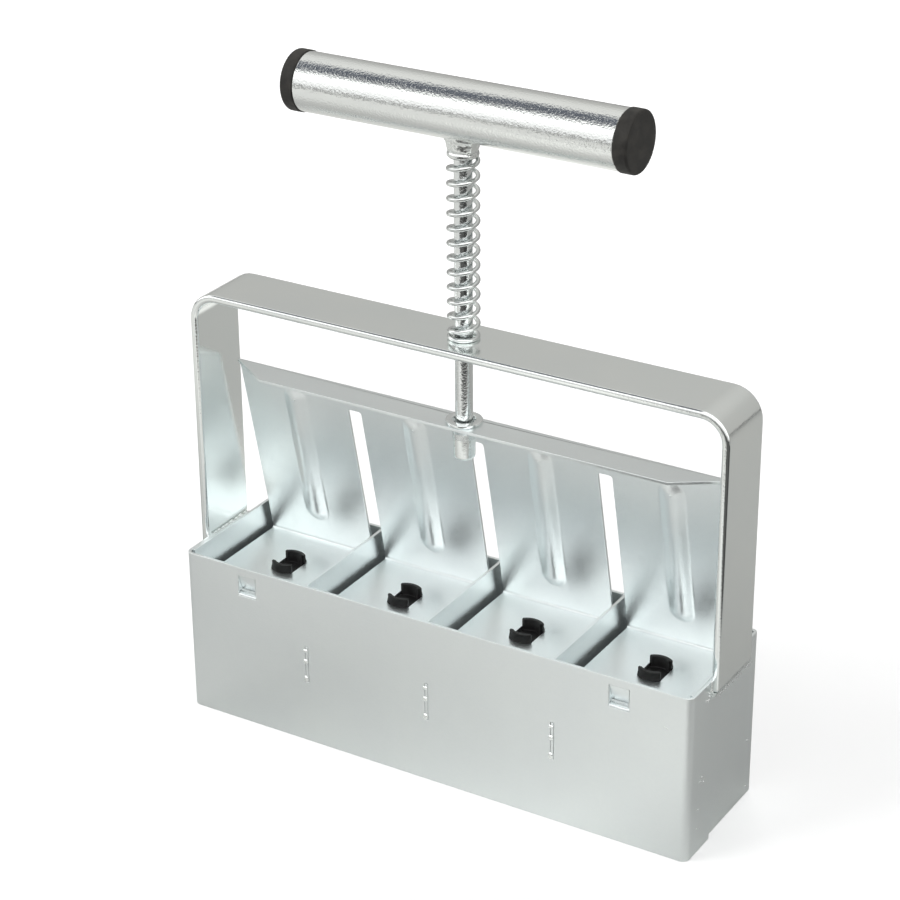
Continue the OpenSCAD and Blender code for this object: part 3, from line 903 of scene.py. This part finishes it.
# %% Handle tube and caps
TUBE_WALL = 1.5 * MM
RIM = 0.3 * MM
CAP_HEAD = 5 * MM
CAP_EDGE = 0.9 * MM
CAP_STEPS = 10
CAP_AXIS = 0.3 * MM
PLUG_WALL = 1.8 * MM
PLUG_GAP = 0.1 * MM
tube_low, tube_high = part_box("handle_tube")
tube_r = (tube_high.z - tube_low.z) / 2
tube_centre = (0, 0, (tube_high.z + tube_low.z) / 2)
end = tube_high.x
tube_bore = tube_r - TUBE_WALL
tube_profile = [(tube_r - RIM, -end), (tube_r, RIM - end), (tube_r, end - RIM), (tube_r - RIM, end),
                (tube_bore + RIM, end), (tube_bore, end - RIM), (tube_bore, RIM - end),
                (tube_bore + RIM, -end)]
finish_piece("grip_tube", turned(tube_profile, True, tube_centre, "X"), "plunger", tube_zinc,
             ["handle_tube"])
for side, name in ((-1, "left"), (1, "right")):
    low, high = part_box(f"end_cap_{name}")
    head_r = (high.z - low.z) / 2
    face = high.x if side > 0 else -low.x
    plug_r = tube_r - TUBE_WALL - PLUG_GAP
    plug_end = face - (high.x - low.x)
    head = face - CAP_HEAD
    profile = [(CAP_AXIS, head), (plug_r - PLUG_WALL, head), (plug_r - PLUG_WALL, plug_end),
               (plug_r, plug_end), (plug_r, head), (head_r - RIM, head), (head_r, head + RIM)]
    profile += arc((head_r - CAP_EDGE, face - CAP_EDGE), CAP_EDGE, 0, 90, CAP_STEPS)
    profile += [(head_r / 2, face), (CAP_AXIS, face)]
    profile = [(r, side * h) for r, h in profile]
    finish_piece(f"cap_{name}", turned(profile, False, tube_centre, "X"), "plunger", cap_black,
                 [f"end_cap_{name}"])

# %% [markdown]
# ## Collar and ring welds
# A collar of weld joins the rod to the tube, and a ring of it closes the top of the sleeve. Such
# lumps could be sculpted by hand, but noise gives the same ones each run. Both welds are spun with
# fine lumps, and the collar's top is lifted until it hugs the tube.

# %% Collar and ring welds
COLLAR_LUMPS, COLLAR_LUMP_SIZE = 0.035, 1.3 * MM
RING_LUMPS, RING_LUMP_SIZE = 0.008, 1.6 * MM
WELD_SHARP = 80
collar_low, collar_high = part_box("handle_weld")
collar_r = (collar_high.x - collar_low.x) / 2
ridge, crease, flare = 0.97 * collar_r, 0.9 * collar_r, 1.12 * collar_r
collar_profile = [(rod_r, collar_low.z), (ridge - 0.5 * MM, collar_low.z), (ridge, collar_low.z + 0.6 * MM),
                  (ridge, collar_low.z + 1.4 * MM), (crease, collar_low.z + 2.1 * MM),
                  (0.98 * collar_r, collar_low.z + 2.9 * MM), (1.03 * collar_r, tube_low.z - 0.9 * MM),
                  (flare, tube_low.z + 0.1 * MM), (flare, collar_high.z), (rod_r, collar_high.z)]
mesh = turned(collar_profile, True, lumps=COLLAR_LUMPS, lump_size=COLLAR_LUMP_SIZE)
for point in mesh.verts:
    share = (point.co.z - collar_low.z) / (collar_high.z - collar_low.z)
    underside = tube_centre[2] - math.sqrt(tube_r ** 2 - point.co.y ** 2)
    point.co.z += max(0, share) ** 2 * (underside - tube_low.z)
finish_piece("collar_weld", mesh, "plunger", weld_zinc, ["handle_weld"], sharp=WELD_SHARP)
ring_low, ring_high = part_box("sleeve_weld")
ring_r = (ring_high.x - ring_low.x) / 2
ring_profile = [(0.97 * sleeve_r, ring_low.z), (sleeve_r + 0.1 * MM, ring_low.z),
                (sleeve_r + 0.2 * MM, ring_low.z + 0.8 * MM), (sleeve_r + 0.35 * MM, ring_low.z + 2.4 * MM),
                (0.98 * ring_r, ring_high.z - 0.8 * MM), (0.98 * ring_r, ring_high.z),
                (0.97 * sleeve_r, ring_high.z)]
mesh = turned(ring_profile, True, lumps=RING_LUMPS, lump_size=RING_LUMP_SIZE)
finish_piece("sleeve_ring_weld", mesh, "plunger", weld_zinc, ["sleeve_weld"], sharp=WELD_SHARP)

# %% [markdown]
# ## Foot welds
# The bead under each foot of the bridge is a row of overlapping ripples: its radius rises and falls
# along its length, as a weld pool does each time it moves on. A bump could fake the ripples, but they
# show in the bead's outline, so they are real shape. Some of the weld has run into the narrow gap
# behind the leg, where the rear panel's end lies a sheet's thickness further in.

# %% Foot welds
BEAD_RIPPLE = 1.7 * MM
BEAD_STEP = 0.2 * MM
BEAD_SIDES = 8
BEAD_BASE, BEAD_SWELL, BEAD_UNEVEN = 0.9, 0.08, 0.05
GAP_FILL_DROP = 0.7 * MM
GAP_FILL_CROWN = 0.25 * MM
GAP_FILL_UNEVEN = 0.5
GAP_FILL_WAVE = 2 * MM
FOOT_WELD_SHARP = 60


def foot_bead(mesh, side, wall_x, from_y, to_y, foot_z, size):
    """A rippled quarter round in the corner between an end wall and the foot of the bridge."""
    count = int((to_y - from_y) / BEAD_STEP)
    rings = []
    for i in range(count + 1):
        y = from_y + (to_y - from_y) * i / count
        ripple = abs(math.sin(math.pi * (y - from_y) / BEAD_RIPPLE))
        uneven = noise.noise(Vector((y, wall_x, side)) / MM)
        radius = size * (BEAD_BASE + BEAD_SWELL * ripple + BEAD_UNEVEN * uneven)
        ring = [mesh.verts.new((side * wall_x, y, foot_z))]
        for dx, dz in arc((0, 0), radius, 0, -90, BEAD_SIDES):
            ring.append(mesh.verts.new((side * (wall_x + dx), y, foot_z + dz)))
        rings.append(ring)
    join_rings(mesh, rings)


def gap_fill(mesh, side, from_y, to_y):
    """Weld that has run into the narrow gap between a leg and the end wall's rim."""
    start = max(from_y, front_high.y)
    count = int((to_y - start) / BEAD_STEP)
    rings = []
    for i in range(count + 1):
        y = start + (to_y - start) * i / count
        uneven = noise.noise(Vector((y / GAP_FILL_WAVE, side, 0)))
        top = box_height - GAP_FILL_DROP * (1 + GAP_FILL_UNEVEN * uneven)
        corners = ((rear_high.x, bridge_low.z), (leg_in, bridge_low.z), (leg_in, top),
                   ((leg_in + rear_high.x) / 2, top + GAP_FILL_CROWN), (rear_high.x, top))
        rings.append([mesh.verts.new((side * x, y, z)) for x, z in corners])
    join_rings(mesh, rings)


leg_in = bridge_high.x - BAR
for side, name in ((-1, "left"), (1, "right")):
    low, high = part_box(f"bridge_weld_{name}")
    outer = max(abs(low.x), abs(high.x))
    mesh = bmesh.new()
    foot_bead(mesh, side, front_high.x, low.y, front_high.y, high.z, outer - front_high.x)
    foot_bead(mesh, side, rear_high.x, front_high.y, high.y, high.z, outer - rear_high.x)
    gap_fill(mesh, side, low.y, high.y)
    finish_piece(f"foot_weld_{name}", mesh, "mould", weld_zinc, [f"bridge_weld_{name}"],
                 sharp=FOOT_WELD_SHARP)

# %% [markdown]
# ## The spring
# A helix is easy to write as a formula, so the wire is a round tube swept along one. A real spring
# has a closed foot: its first half turn lies flat on the bridge before the wire starts to climb,
# and the last part lies against the weld. So the climb eases in and out over a third of a turn.

# %% Spring
WIRE = 1.6 * MM
COIL_R = 5 * MM
TURNS = 13
FLAT_FOOT = 0.55
FLAT_HEAD = 0.12
EASE = 0.3
START_ANGLE = 179.0
COIL_STEPS = 40
WIRE_SIDES = 16
spring_low, spring_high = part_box("return_spring")
coil_low = spring_low.z + WIRE / 2
coil_high = spring_high.z - WIRE / 2
pitch = (coil_high - coil_low) / (TURNS - FLAT_FOOT - FLAT_HEAD - EASE)


def eased(turns):
    """Nothing below zero, then a soft start, then one for one."""
    if turns <= 0:
        return 0.0
    return turns * turns / (2 * EASE) if turns < EASE else turns - EASE / 2


def spring_line():
    """Points along the wire's middle, from its cut end on the bridge to the one at the weld."""
    line = []
    for i in range(TURNS * COIL_STEPS + 1):
        turn = i / COIL_STEPS
        if turn < TURNS / 2:
            z = coil_low + pitch * eased(turn - FLAT_FOOT)
        else:
            z = coil_high - pitch * eased(TURNS - turn - FLAT_HEAD)
        a = math.radians(START_ANGLE) + 2 * math.pi * turn
        line.append(Vector((COIL_R * math.cos(a), COIL_R * math.sin(a), z)))
    return line


mesh = bmesh.new()
middle = spring_line()
rings = []
for i, p in enumerate(middle):
    run = (middle[min(i + 1, len(middle) - 1)] - middle[max(i - 1, 0)]).normalized()
    out = Vector((p.x, p.y, 0)).normalized()
    side = run.cross(out).normalized()
    out = side.cross(run)
    rings.append([mesh.verts.new(p + WIRE / 2 * (math.cos(a) * out + math.sin(a) * side))
                  for a in (2 * math.pi * k / WIRE_SIDES for k in range(WIRE_SIDES))])
join_rings(mesh, rings)
spring = finish_piece("coil_spring", mesh, "mould", wire_zinc, ["return_spring"])
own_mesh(spring)

# %% [markdown]
# ## The dibbers
# The CAD shape of the snap-in dibbers is already right: two curved prongs with a barb, a head and
# a seed pin. They stay as they are, and modifiers only join their faces and soften their edges.

# %% Dibbers
DIBBER_JOIN = 0.002 * MM
DIBBER_FLAT = math.radians(1)
DIBBER_EDGE = 0.25 * MM
DIBBER_CORNER = math.radians(40)
for i in (1, 2, 3, 4):
    dibber = nodes[f"dibber_{i}"]
    weld = dibber.modifiers.new("join", "WELD")
    weld.merge_threshold = DIBBER_JOIN
    flatten = dibber.modifiers.new("join_flat_faces", "DECIMATE")
    flatten.decimate_type = "DISSOLVE"
    flatten.angle_limit = DIBBER_FLAT
    soften = dibber.modifiers.new("soft_edge", "BEVEL")
    soften.width = DIBBER_EDGE
    soften.segments = CUT_SEGMENTS
    soften.limit_method = "ANGLE"
    soften.angle_limit = DIBBER_CORNER
    soften.harden_normals = True
    dibber.data.materials.clear()
    dibber.data.materials.append(dibber_black)
print("dibbers dressed")

# %% [markdown]
# ## Small domes
# Stakes, spatter and the points on the ribs are all tiny raised marks on a flat face. A low dome
# does for each of them. Its outline is made a little uneven by noise, and its rim is sunk into the
# face, so that no gap shows under it.

# %% Small domes
DOME_RINGS = 4
DOME_SIDES = 14
DOME_SINK = 0.05 * MM
DOME_UNEVEN = 0.12
DOME_SHARP = 70


def dome(mesh, place, normal, across, wide, tall, height, seed):
    """A low, uneven dome on a flat face: wide along across, tall at right angles to it."""
    normal = Vector(normal)
    across = Vector(across)
    other = normal.cross(across)
    centre = Vector(place)
    rings = []
    for r in range(DOME_RINGS):
        share = 1 - r / DOME_RINGS
        lift = height * math.sqrt(1 - share * share) - DOME_SINK * (r == 0)
        ring = []
        for k in range(DOME_SIDES):
            a = 2 * math.pi * k / DOME_SIDES
            uneven = 1 + DOME_UNEVEN * noise.noise(Vector((math.cos(a), math.sin(a), seed)))
            ring.append(mesh.verts.new(centre + share * uneven * (
                across * math.cos(a) * wide / 2 + other * math.sin(a) * tall / 2) + normal * lift))
        rings.append(ring)
    top = mesh.verts.new(centre + normal * height)
    join_rings(mesh, rings, capped=False)
    for k in range(DOME_SIDES):
        mesh.faces.new((rings[-1][k], rings[-1][(k + 1) % DOME_SIDES], top))
    mesh.faces.new(list(reversed(rings[0])))


print("a dome has", DOME_RINGS * DOME_SIDES + 1, "points")

# %% [markdown]
# ## Stakes
# The dividers' tabs are staked: a punch swells the tab's end over the edge of its slot in three
# places, a little to one side. The lowest stake is the longest one. They could be pulled out of the
# panels' own meshes, but those would need many more faces round each slot, so domes sit on the walls.

# %% Stakes
STAKE_HEIGHTS = (38.2 * MM, 33.6 * MM, 26.2 * MM)
STAKE_TALL = (1.6 * MM, 2.3 * MM, 2.9 * MM)
STAKE_WIDE = 2.0 * MM
STAKE_HIGH = 0.45 * MM
STAKE_ASIDE = 0.5 * MM
mesh = bmesh.new()
for n, x in enumerate(divider_x):
    for k, (z, tall) in enumerate(zip(STAKE_HEIGHTS, STAKE_TALL)):
        for way, wall_y in ((-1, front_low.y), (1, rear_high.y)):
            dome(mesh, (x + way * STAKE_ASIDE, wall_y, z), (0, way, 0), (1, 0, 0), STAKE_WIDE, tall,
                 STAKE_HIGH, n + k / 3)
finish_piece("tab_stakes", mesh, "mould", bar_zinc, sharp=DOME_SHARP)

# %% [markdown]
# ## Weld spatter
# Welding throws off tiny beads. A few lie on the box's right end, where the photograph shows them.
# Many more lie along the foot of each leg, with a small patch in front of it, and one short row
# closes the gap at the leg's front corner. Their sizes and places are random, from a fixed seed, so
# each run gives the same beads. One fine nick on the front wall is a long, flat dome.

# %% Weld spatter
SPATTER = 0.75 * MM
SPATTER_TALL, SPATTER_HIGH = 1.2, 0.3
RETURN_SPATTER = ((-17.2, 29.6), (-18.6, 28.4), (-15.8, 27.0), (-19.3, 17.4), (-19.5, 9.8))
WALL_SPATTER = ((22.5, 3.3), (21.8, 22.9))
BEAD_SEED = 7
BEAD_HIGH = 0.35
FOOT_BEADS = 46
FOOT_BEAD_SIZE = (0.6, 1.3)
FOOT_BEAD_SHIFT = 0.3
FOOT_BEAD_TALL = 0.7
FOOT_BEAD_OUT = (0.8, -0.6)
PATCH_BEADS = 16
PATCH_BEAD_SIZE = (0.4, 0.9)
PATCH_Y = (-3.4, 1.2)
PATCH_Z = (-3.2, 1.0)
CORNER_BEADS = 7
CORNER_BEAD_IN = (0.2 * MM, 0.5 * MM)
CORNER_BEAD_OUT = (0.45, -0.89)
CORNER_BEAD = (1.3 * MM, 1.5 * MM, 0.5 * MM)
NICK_PLACE = (94.8 * MM, front_low.y, 51.6 * MM)
NICK_ALONG = (0.93, 0, -0.37)
NICK = (2.5 * MM, 0.3 * MM, 0.05 * MM)
mesh = bmesh.new()
for wall_x, marks in ((front_high.x, RETURN_SPATTER), (rear_high.x, WALL_SPATTER)):
    for n, (y, z) in enumerate(marks):
        dome(mesh, (wall_x, y * MM, z * MM), (1, 0, 0), (0, 1, 0), SPATTER, SPATTER_TALL * SPATTER,
             SPATTER_HIGH * SPATTER, n)
random.seed(BEAD_SEED)
for side in (-1, 1):
    for n in range(FOOT_BEADS):
        y = bridge_low.y + (bridge_high.y - bridge_low.y) * (n + random.random()) / FOOT_BEADS
        size = random.uniform(*FOOT_BEAD_SIZE) * MM
        x = side * (bridge_high.x - random.uniform(0, FOOT_BEAD_SHIFT) * MM)
        z = bridge_low.z - random.uniform(0, FOOT_BEAD_SHIFT) * MM
        out = (side * FOOT_BEAD_OUT[0], 0, FOOT_BEAD_OUT[1])
        dome(mesh, (x, y, z), out, (0, 1, 0), size, FOOT_BEAD_TALL * size, BEAD_HIGH * size, n)
    for n in range(PATCH_BEADS):
        y = bridge_low.y + random.uniform(*PATCH_Y) * MM
        z = bridge_low.z + random.uniform(*PATCH_Z) * MM
        size = random.uniform(*PATCH_BEAD_SIZE) * MM
        dome(mesh, (side * front_high.x, y, z), (side, 0, 0), (0, 1, 0), size, size, BEAD_HIGH * size, n / 3)
    for n in range(CORNER_BEADS):
        x = side * (front_high.x + CORNER_BEAD_IN[0])
        z = bridge_low.z + (n + 0.5) / CORNER_BEADS * (box_height - bridge_low.z)
        out = (side * CORNER_BEAD_OUT[0], CORNER_BEAD_OUT[1], 0)
        dome(mesh, (x, bridge_low.y + CORNER_BEAD_IN[1], z), out, (0, 0, 1), *CORNER_BEAD, n / 2)
dome(mesh, NICK_PLACE, (0, -1, 0), NICK_ALONG, *NICK, 9)
finish_piece("weld_spatter", mesh, "mould", weld_zinc, sharp=DOME_SHARP)

# %% [markdown]
# ## Points on the ribs
# The press that made the ribs left a small point near the top of each one, on the side that shows.
# The grid under the rib is too coarse for such a small mark, so a dome sits on each crest.

# %% Rib points
POINT_WIDE = 1.1 * MM
POINT_HIGH = 0.25 * MM
POINT_DROP = 0.4 * MM
mesh = bmesh.new()
crest = rib_top - POINT_DROP
for x in cell_x:
    point, normal = ejector_at(crest)
    inward = Vector((0, -normal.x, -normal.y))
    top = Vector((x, point.x, point.y)) + (SHEET + rib_height(crest, x)) * inward
    dome(mesh, top, inward, (1, 0, 0), POINT_WIDE, POINT_WIDE, POINT_HIGH, x)
finish_piece("rib_dimples", mesh, "plunger", sheet_zinc, sharp=DOME_SHARP)

# %% [markdown]
# ## The floor
# Bright metal shows its shape only by what it mirrors, so the studio is part of the material's
# look, and the floor is the half of it that lies below. A studio could be a room full of cards and
# lamps. Here one flat sheet does it, because its material can show each kind of ray something else.

# %% Floor
FLOOR_SIZE = 6.0
FLOOR_DROP = 0.05 * MM
FLOOR_SQUARES = 8
floor_mesh = bmesh.new()
bmesh.ops.create_grid(floor_mesh, x_segments=FLOOR_SQUARES, y_segments=FLOOR_SQUARES, size=FLOOR_SIZE / 2)
floor_data = bpy.data.meshes.new("floor")
floor_mesh.to_mesh(floor_data)
floor_mesh.free()
floor = bpy.data.objects.new("floor", floor_data)
scene.collection.objects.link(floor)
floor.location.z = -FLOOR_DROP
floor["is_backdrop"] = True
print("floor", FLOOR_SIZE, "m wide")

# %% [markdown]
# ## Zones that only mirrors see
# The Light Path node tells which ray is asking, so a surface can be plain to the camera and still
# put bright and dark zones into the metal. A zone is a level that changes along a direction, or with
# the distance from a point, which a dot product and a distance give without any picture.

# %% Zone helpers
def ray_kinds(tree):
    """Which ray is asking: the camera's, or one that a mirror or glass sends on."""
    ray = tree.nodes.new("ShaderNodeLightPath")
    either = maths(tree, "MAXIMUM", ray.outputs["Is Glossy Ray"], ray.outputs["Is Transmission Ray"])
    return ray.outputs["Is Camera Ray"], either


def measure(tree, operation, place, point):
    """The dot product with a direction, or the distance to a point."""
    node = tree.nodes.new("ShaderNodeVectorMath")
    node.operation = operation
    tree.links.new(place, node.inputs[0])
    node.inputs[1].default_value = point
    return node.outputs["Value"]


def away_from(tree, place, point, near, far, low, high):
    """A level that goes from low to high between two distances from a point."""
    return spread(tree, measure(tree, "DISTANCE", place, point), near, far, low, high)


def dimmer_towards(tree, place, way, near, far, low):
    """A level that goes from one to low along a direction."""
    return spread(tree, measure(tree, "DOT_PRODUCT", place, way), near, far, 1, low)


print("zone helpers ready")

# %% [markdown]
# ## The floor's material
# The camera sees one plain pale sheet that keeps the object's shadow. It glows a little, and more
# with distance, so that it goes over into the white background. Mirror rays see it with soft zones:
# it is dimmer on the right, on the far left and near the front wall, and a large dark disc lies out
# in front on the right, like the dark room past the end of a bright table. That disc gives the tube,
# the rod and the spring their dark bands.

# %% Floor material
FLOOR_ALBEDO = 0.86
MIRRORED_BLUE = 0.965
SPECK_SCALE = 3.0
SPECK_LEVEL = 0.985
FLOOR_ROUGHNESS = 0.9
FLOOR_SHINE = 0.1
# The dimmer zones on the right and near the front wall are painted shade, seen only in the metal: they stand
# in for the shade that the box throws on the floor behind its right end and close round it. Mirror rays also
# see the floor glow a little, by the same zones.
RIGHT, RIGHT_REACH, DIM_RIGHT = (0.85, 0.52, 0), (0.03, 0.11), 0.45
LEFT, LEFT_REACH, DIM_LEFT = (-1, 0, 0), (0.12, 0.24), 0.7
NEAR_WALL, NEAR_REACH, DIM_NEAR, BRIGHT_FAR = (-0.13, -0.05, 0), (0.05, 0.27), 0.57, 1.02
DARK_SPOT, DARK_SPOT_EDGE, DARK_SPOT_LEVEL = (0.437, -0.729, 0), (0.60, 0.66), 0.10
GLOW_REACH, GLOW_NEAR, GLOW_FAR = (0.4, 1.6), 0.25, 0.7
GLOW_MIRRORED = 0.10
material, tree, shader, place = new_material("pale_floor")
seen, mirrored = ray_kinds(tree)
# Painted shade for mirror rays: darker towards the right and near the front wall.
painted_shade_right = dimmer_towards(tree, place, RIGHT, *RIGHT_REACH, DIM_RIGHT)
off_spot = away_from(tree, place, DARK_SPOT, *DARK_SPOT_EDGE, DARK_SPOT_LEVEL, 1)
outward = away_from(tree, place, NEAR_WALL, *NEAR_REACH, DIM_NEAR, BRIGHT_FAR)
toward_left = dimmer_towards(tree, place, LEFT, *LEFT_REACH, DIM_LEFT)
level = times(tree, times(tree, painted_shade_right, outward), times(tree, off_spot, toward_left))
pale = (FLOOR_ALBEDO, FLOOR_ALBEDO, FLOOR_ALBEDO, 1)
speck_tone = tuple(SPECK_LEVEL * c for c in pale[:3]) + (1,)
mirrored_tone = (FLOOR_ALBEDO, FLOOR_ALBEDO, MIRRORED_BLUE * FLOOR_ALBEDO, 1)
dimmed = blend_colour(tree, level, (0, 0, 0, 1), mirrored_tone)
speck = blend_colour(tree, grain(tree, place, SPECK_SCALE, detail=2), pale, speck_tone)
tree.links.new(blend_colour(tree, mirrored, speck, dimmed), shader.inputs["Base Color"])
shader.inputs["Roughness"].default_value = FLOOR_ROUGHNESS
shader.inputs["Specular IOR Level"].default_value = FLOOR_SHINE
glow_mirrored = spread(tree, times(tree, mirrored, level), 0, 1, 0, GLOW_MIRRORED)
glow_seen = times(tree, seen, away_from(tree, place, (0, 0, 0), *GLOW_REACH, GLOW_NEAR, GLOW_FAR))
shader.inputs["Emission Color"].default_value = (1, 1, 1, 1)
tree.links.new(maths(tree, "ADD", glow_seen, glow_mirrored), shader.inputs["Emission Strength"])
floor_data.materials.append(material)
print("floor material ready")

# %% [markdown]
# ## The world
# The tube in the photograph works like a gauge for the room: from its top to its foot it mirrors a
# dim back wall, a lit ceiling, a dark gap, a bright soft box low at the front, a thin dark line at
# the table's edge, and the pale table. So the world is a band of light that runs over the object
# from back to front. A photographed surrounding could stand in for it, but a ramp is easier to fit:
# it gives the level by the angle round the X axis, and a soft box becomes a stretch of the ramp.

# %% World bands
WORLD_PEAK = 2.0
BACK = ((0, 0.455), (27, 0.485), (50, 0.74), (80, 0.84))
FRONT = ((140, 2.0), (152, 1.32), (166, 1.02), (180, 0.9))
GAP = ((92, 0.15), (114, 0.12), (127, 0.64))
NO_GAP = ((100, 1.6), (124, 1.6))
OVERHEAD = 90
DARK_BELOW = 0.2
WARM, NEUTRAL, BLUE = (1, 0.995, 0.965), (1, 1, 0.99), (0.88, 0.96, 1.15)
world = bpy.data.worlds.new("studio")
scene.world = world
world.use_nodes = True
tree = world.node_tree
tree.nodes.clear()
direction = tree.nodes.new("ShaderNodeTexCoord")
parts = tree.nodes.new("ShaderNodeSeparateXYZ")
tree.links.new(direction.outputs["Generated"], parts.inputs[0])
angle = maths(tree, "ARCTAN2", parts.outputs["Z"], parts.outputs["Y"])


def light_band(levels):
    """A ramp from the back horizon, at 0 degrees, over the top to the front one, at 180."""
    ramp = tree.nodes.new("ShaderNodeValToRGB")
    tree.links.new(spread(tree, angle, 0, math.pi), ramp.inputs["Fac"])
    steps = ramp.color_ramp.elements
    for i, (degrees, level) in enumerate(levels):
        if i >= len(steps):
            steps.new(1.0)
        tint = WARM if degrees < OVERHEAD else BLUE if level < DARK_BELOW else NEUTRAL
        steps[i].position = degrees / 180
        steps[i].color = tuple(level / WORLD_PEAK * t for t in tint) + (1,)
    return ramp.outputs["Color"]


print("brightest zone", max(level for _, level in BACK + GAP + NO_GAP + FRONT))

# %% [markdown]
# ## What each ray sees of the world
# The dark gap before the front soft box is only as wide as the handle shows it, so a second ramp
# without the gap takes over to both sides of it. Only mirror rays see these bands. The camera itself
# sees plain white, and rays that light matt surfaces see one plain level, so that painted or moulded
# colours render as they are written.

# %% World
WORLD_LIGHT = 0.55
TABLE_EDGE_LEVEL = 0.12 / WORLD_PEAK
TABLE_EDGE = (-0.02, -0.008)
GAP_MIDDLE = -0.468
GAP_HALF = (0.13, 0.30)
off_gap = maths(tree, "ABSOLUTE", maths(tree, "SUBTRACT", parts.outputs["X"], GAP_MIDDLE))
beside = spread(tree, off_gap, *GAP_HALF)
bands = blend_colour(tree, beside, light_band(BACK + GAP + FRONT), light_band(BACK + NO_GAP + FRONT))
edge = spread(tree, parts.outputs["Z"], *TABLE_EDGE, 1, 0)
edge_tone = (TABLE_EDGE_LEVEL, TABLE_EDGE_LEVEL, TABLE_EDGE_LEVEL, 1)
soft, shown, white = (tree.nodes.new("ShaderNodeBackground") for _ in range(3))
soft.inputs["Strength"].default_value = WORLD_LIGHT
shown.inputs["Strength"].default_value = WORLD_PEAK
for light in (soft, white):
    light.inputs["Color"].default_value = (1, 1, 1, 1)
tree.links.new(blend_colour(tree, edge, bands, edge_tone), shown.inputs["Color"])
seen, mirrored = ray_kinds(tree)
inner, whole = (tree.nodes.new("ShaderNodeMixShader") for _ in range(2))
for mixer, factor, one, two in ((inner, mirrored, soft.outputs[0], shown.outputs[0]),
                                (whole, seen, inner.outputs[0], white.outputs[0])):
    tree.links.new(factor, mixer.inputs[0])
    tree.links.new(one, mixer.inputs[1])
    tree.links.new(two, mixer.inputs[2])
output = tree.nodes.new("ShaderNodeOutputWorld")
tree.links.new(whole.outputs[0], output.inputs["Surface"])
print("world ready")

# %% [markdown]
# ## The lamps
# Three large area lamps give the floor its shadow and light the black plastic, at a plain level so
# that colours render as they are written. Small lamps or a sun would throw hard shadows, which the
# photograph doesn't have. Mirror rays don't see the lamps, because the world's zones already are
# what the metal shows.

# %% Lamps
AIM = (0, 0, 0.11)


def soft_box(name, place, size, power):
    """A soft area lamp aimed at the middle of the object."""
    data = bpy.data.lights.new(name, "AREA")
    data.shape = "RECTANGLE"
    data.size, data.size_y = size
    data.energy = power
    lamp = bpy.data.objects.new(name, data)
    scene.collection.objects.link(lamp)
    lamp.location = place
    lamp.rotation_euler = (Vector(AIM) - Vector(place)).to_track_quat("-Z", "Y").to_euler()
    lamp.visible_glossy = False


soft_box("key_left", (-0.9, -0.9, 1.1), (0.9, 0.9), 12)
soft_box("fill_right", (1.2, -0.2, 0.8), (0.8, 0.8), 3)
soft_box("back_top", (-0.2, 1.0, 1.2), (1.0, 0.6), 6)
print("lamps ready")

# %% [markdown]
# ## The visual box
# The visual model is built to fill the same box as the CAD model, and its size is printed here.

# %% Write the sizes and finish
low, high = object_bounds()
print("visual box", [round(v / MM, 2) for v in high - low], "mm")
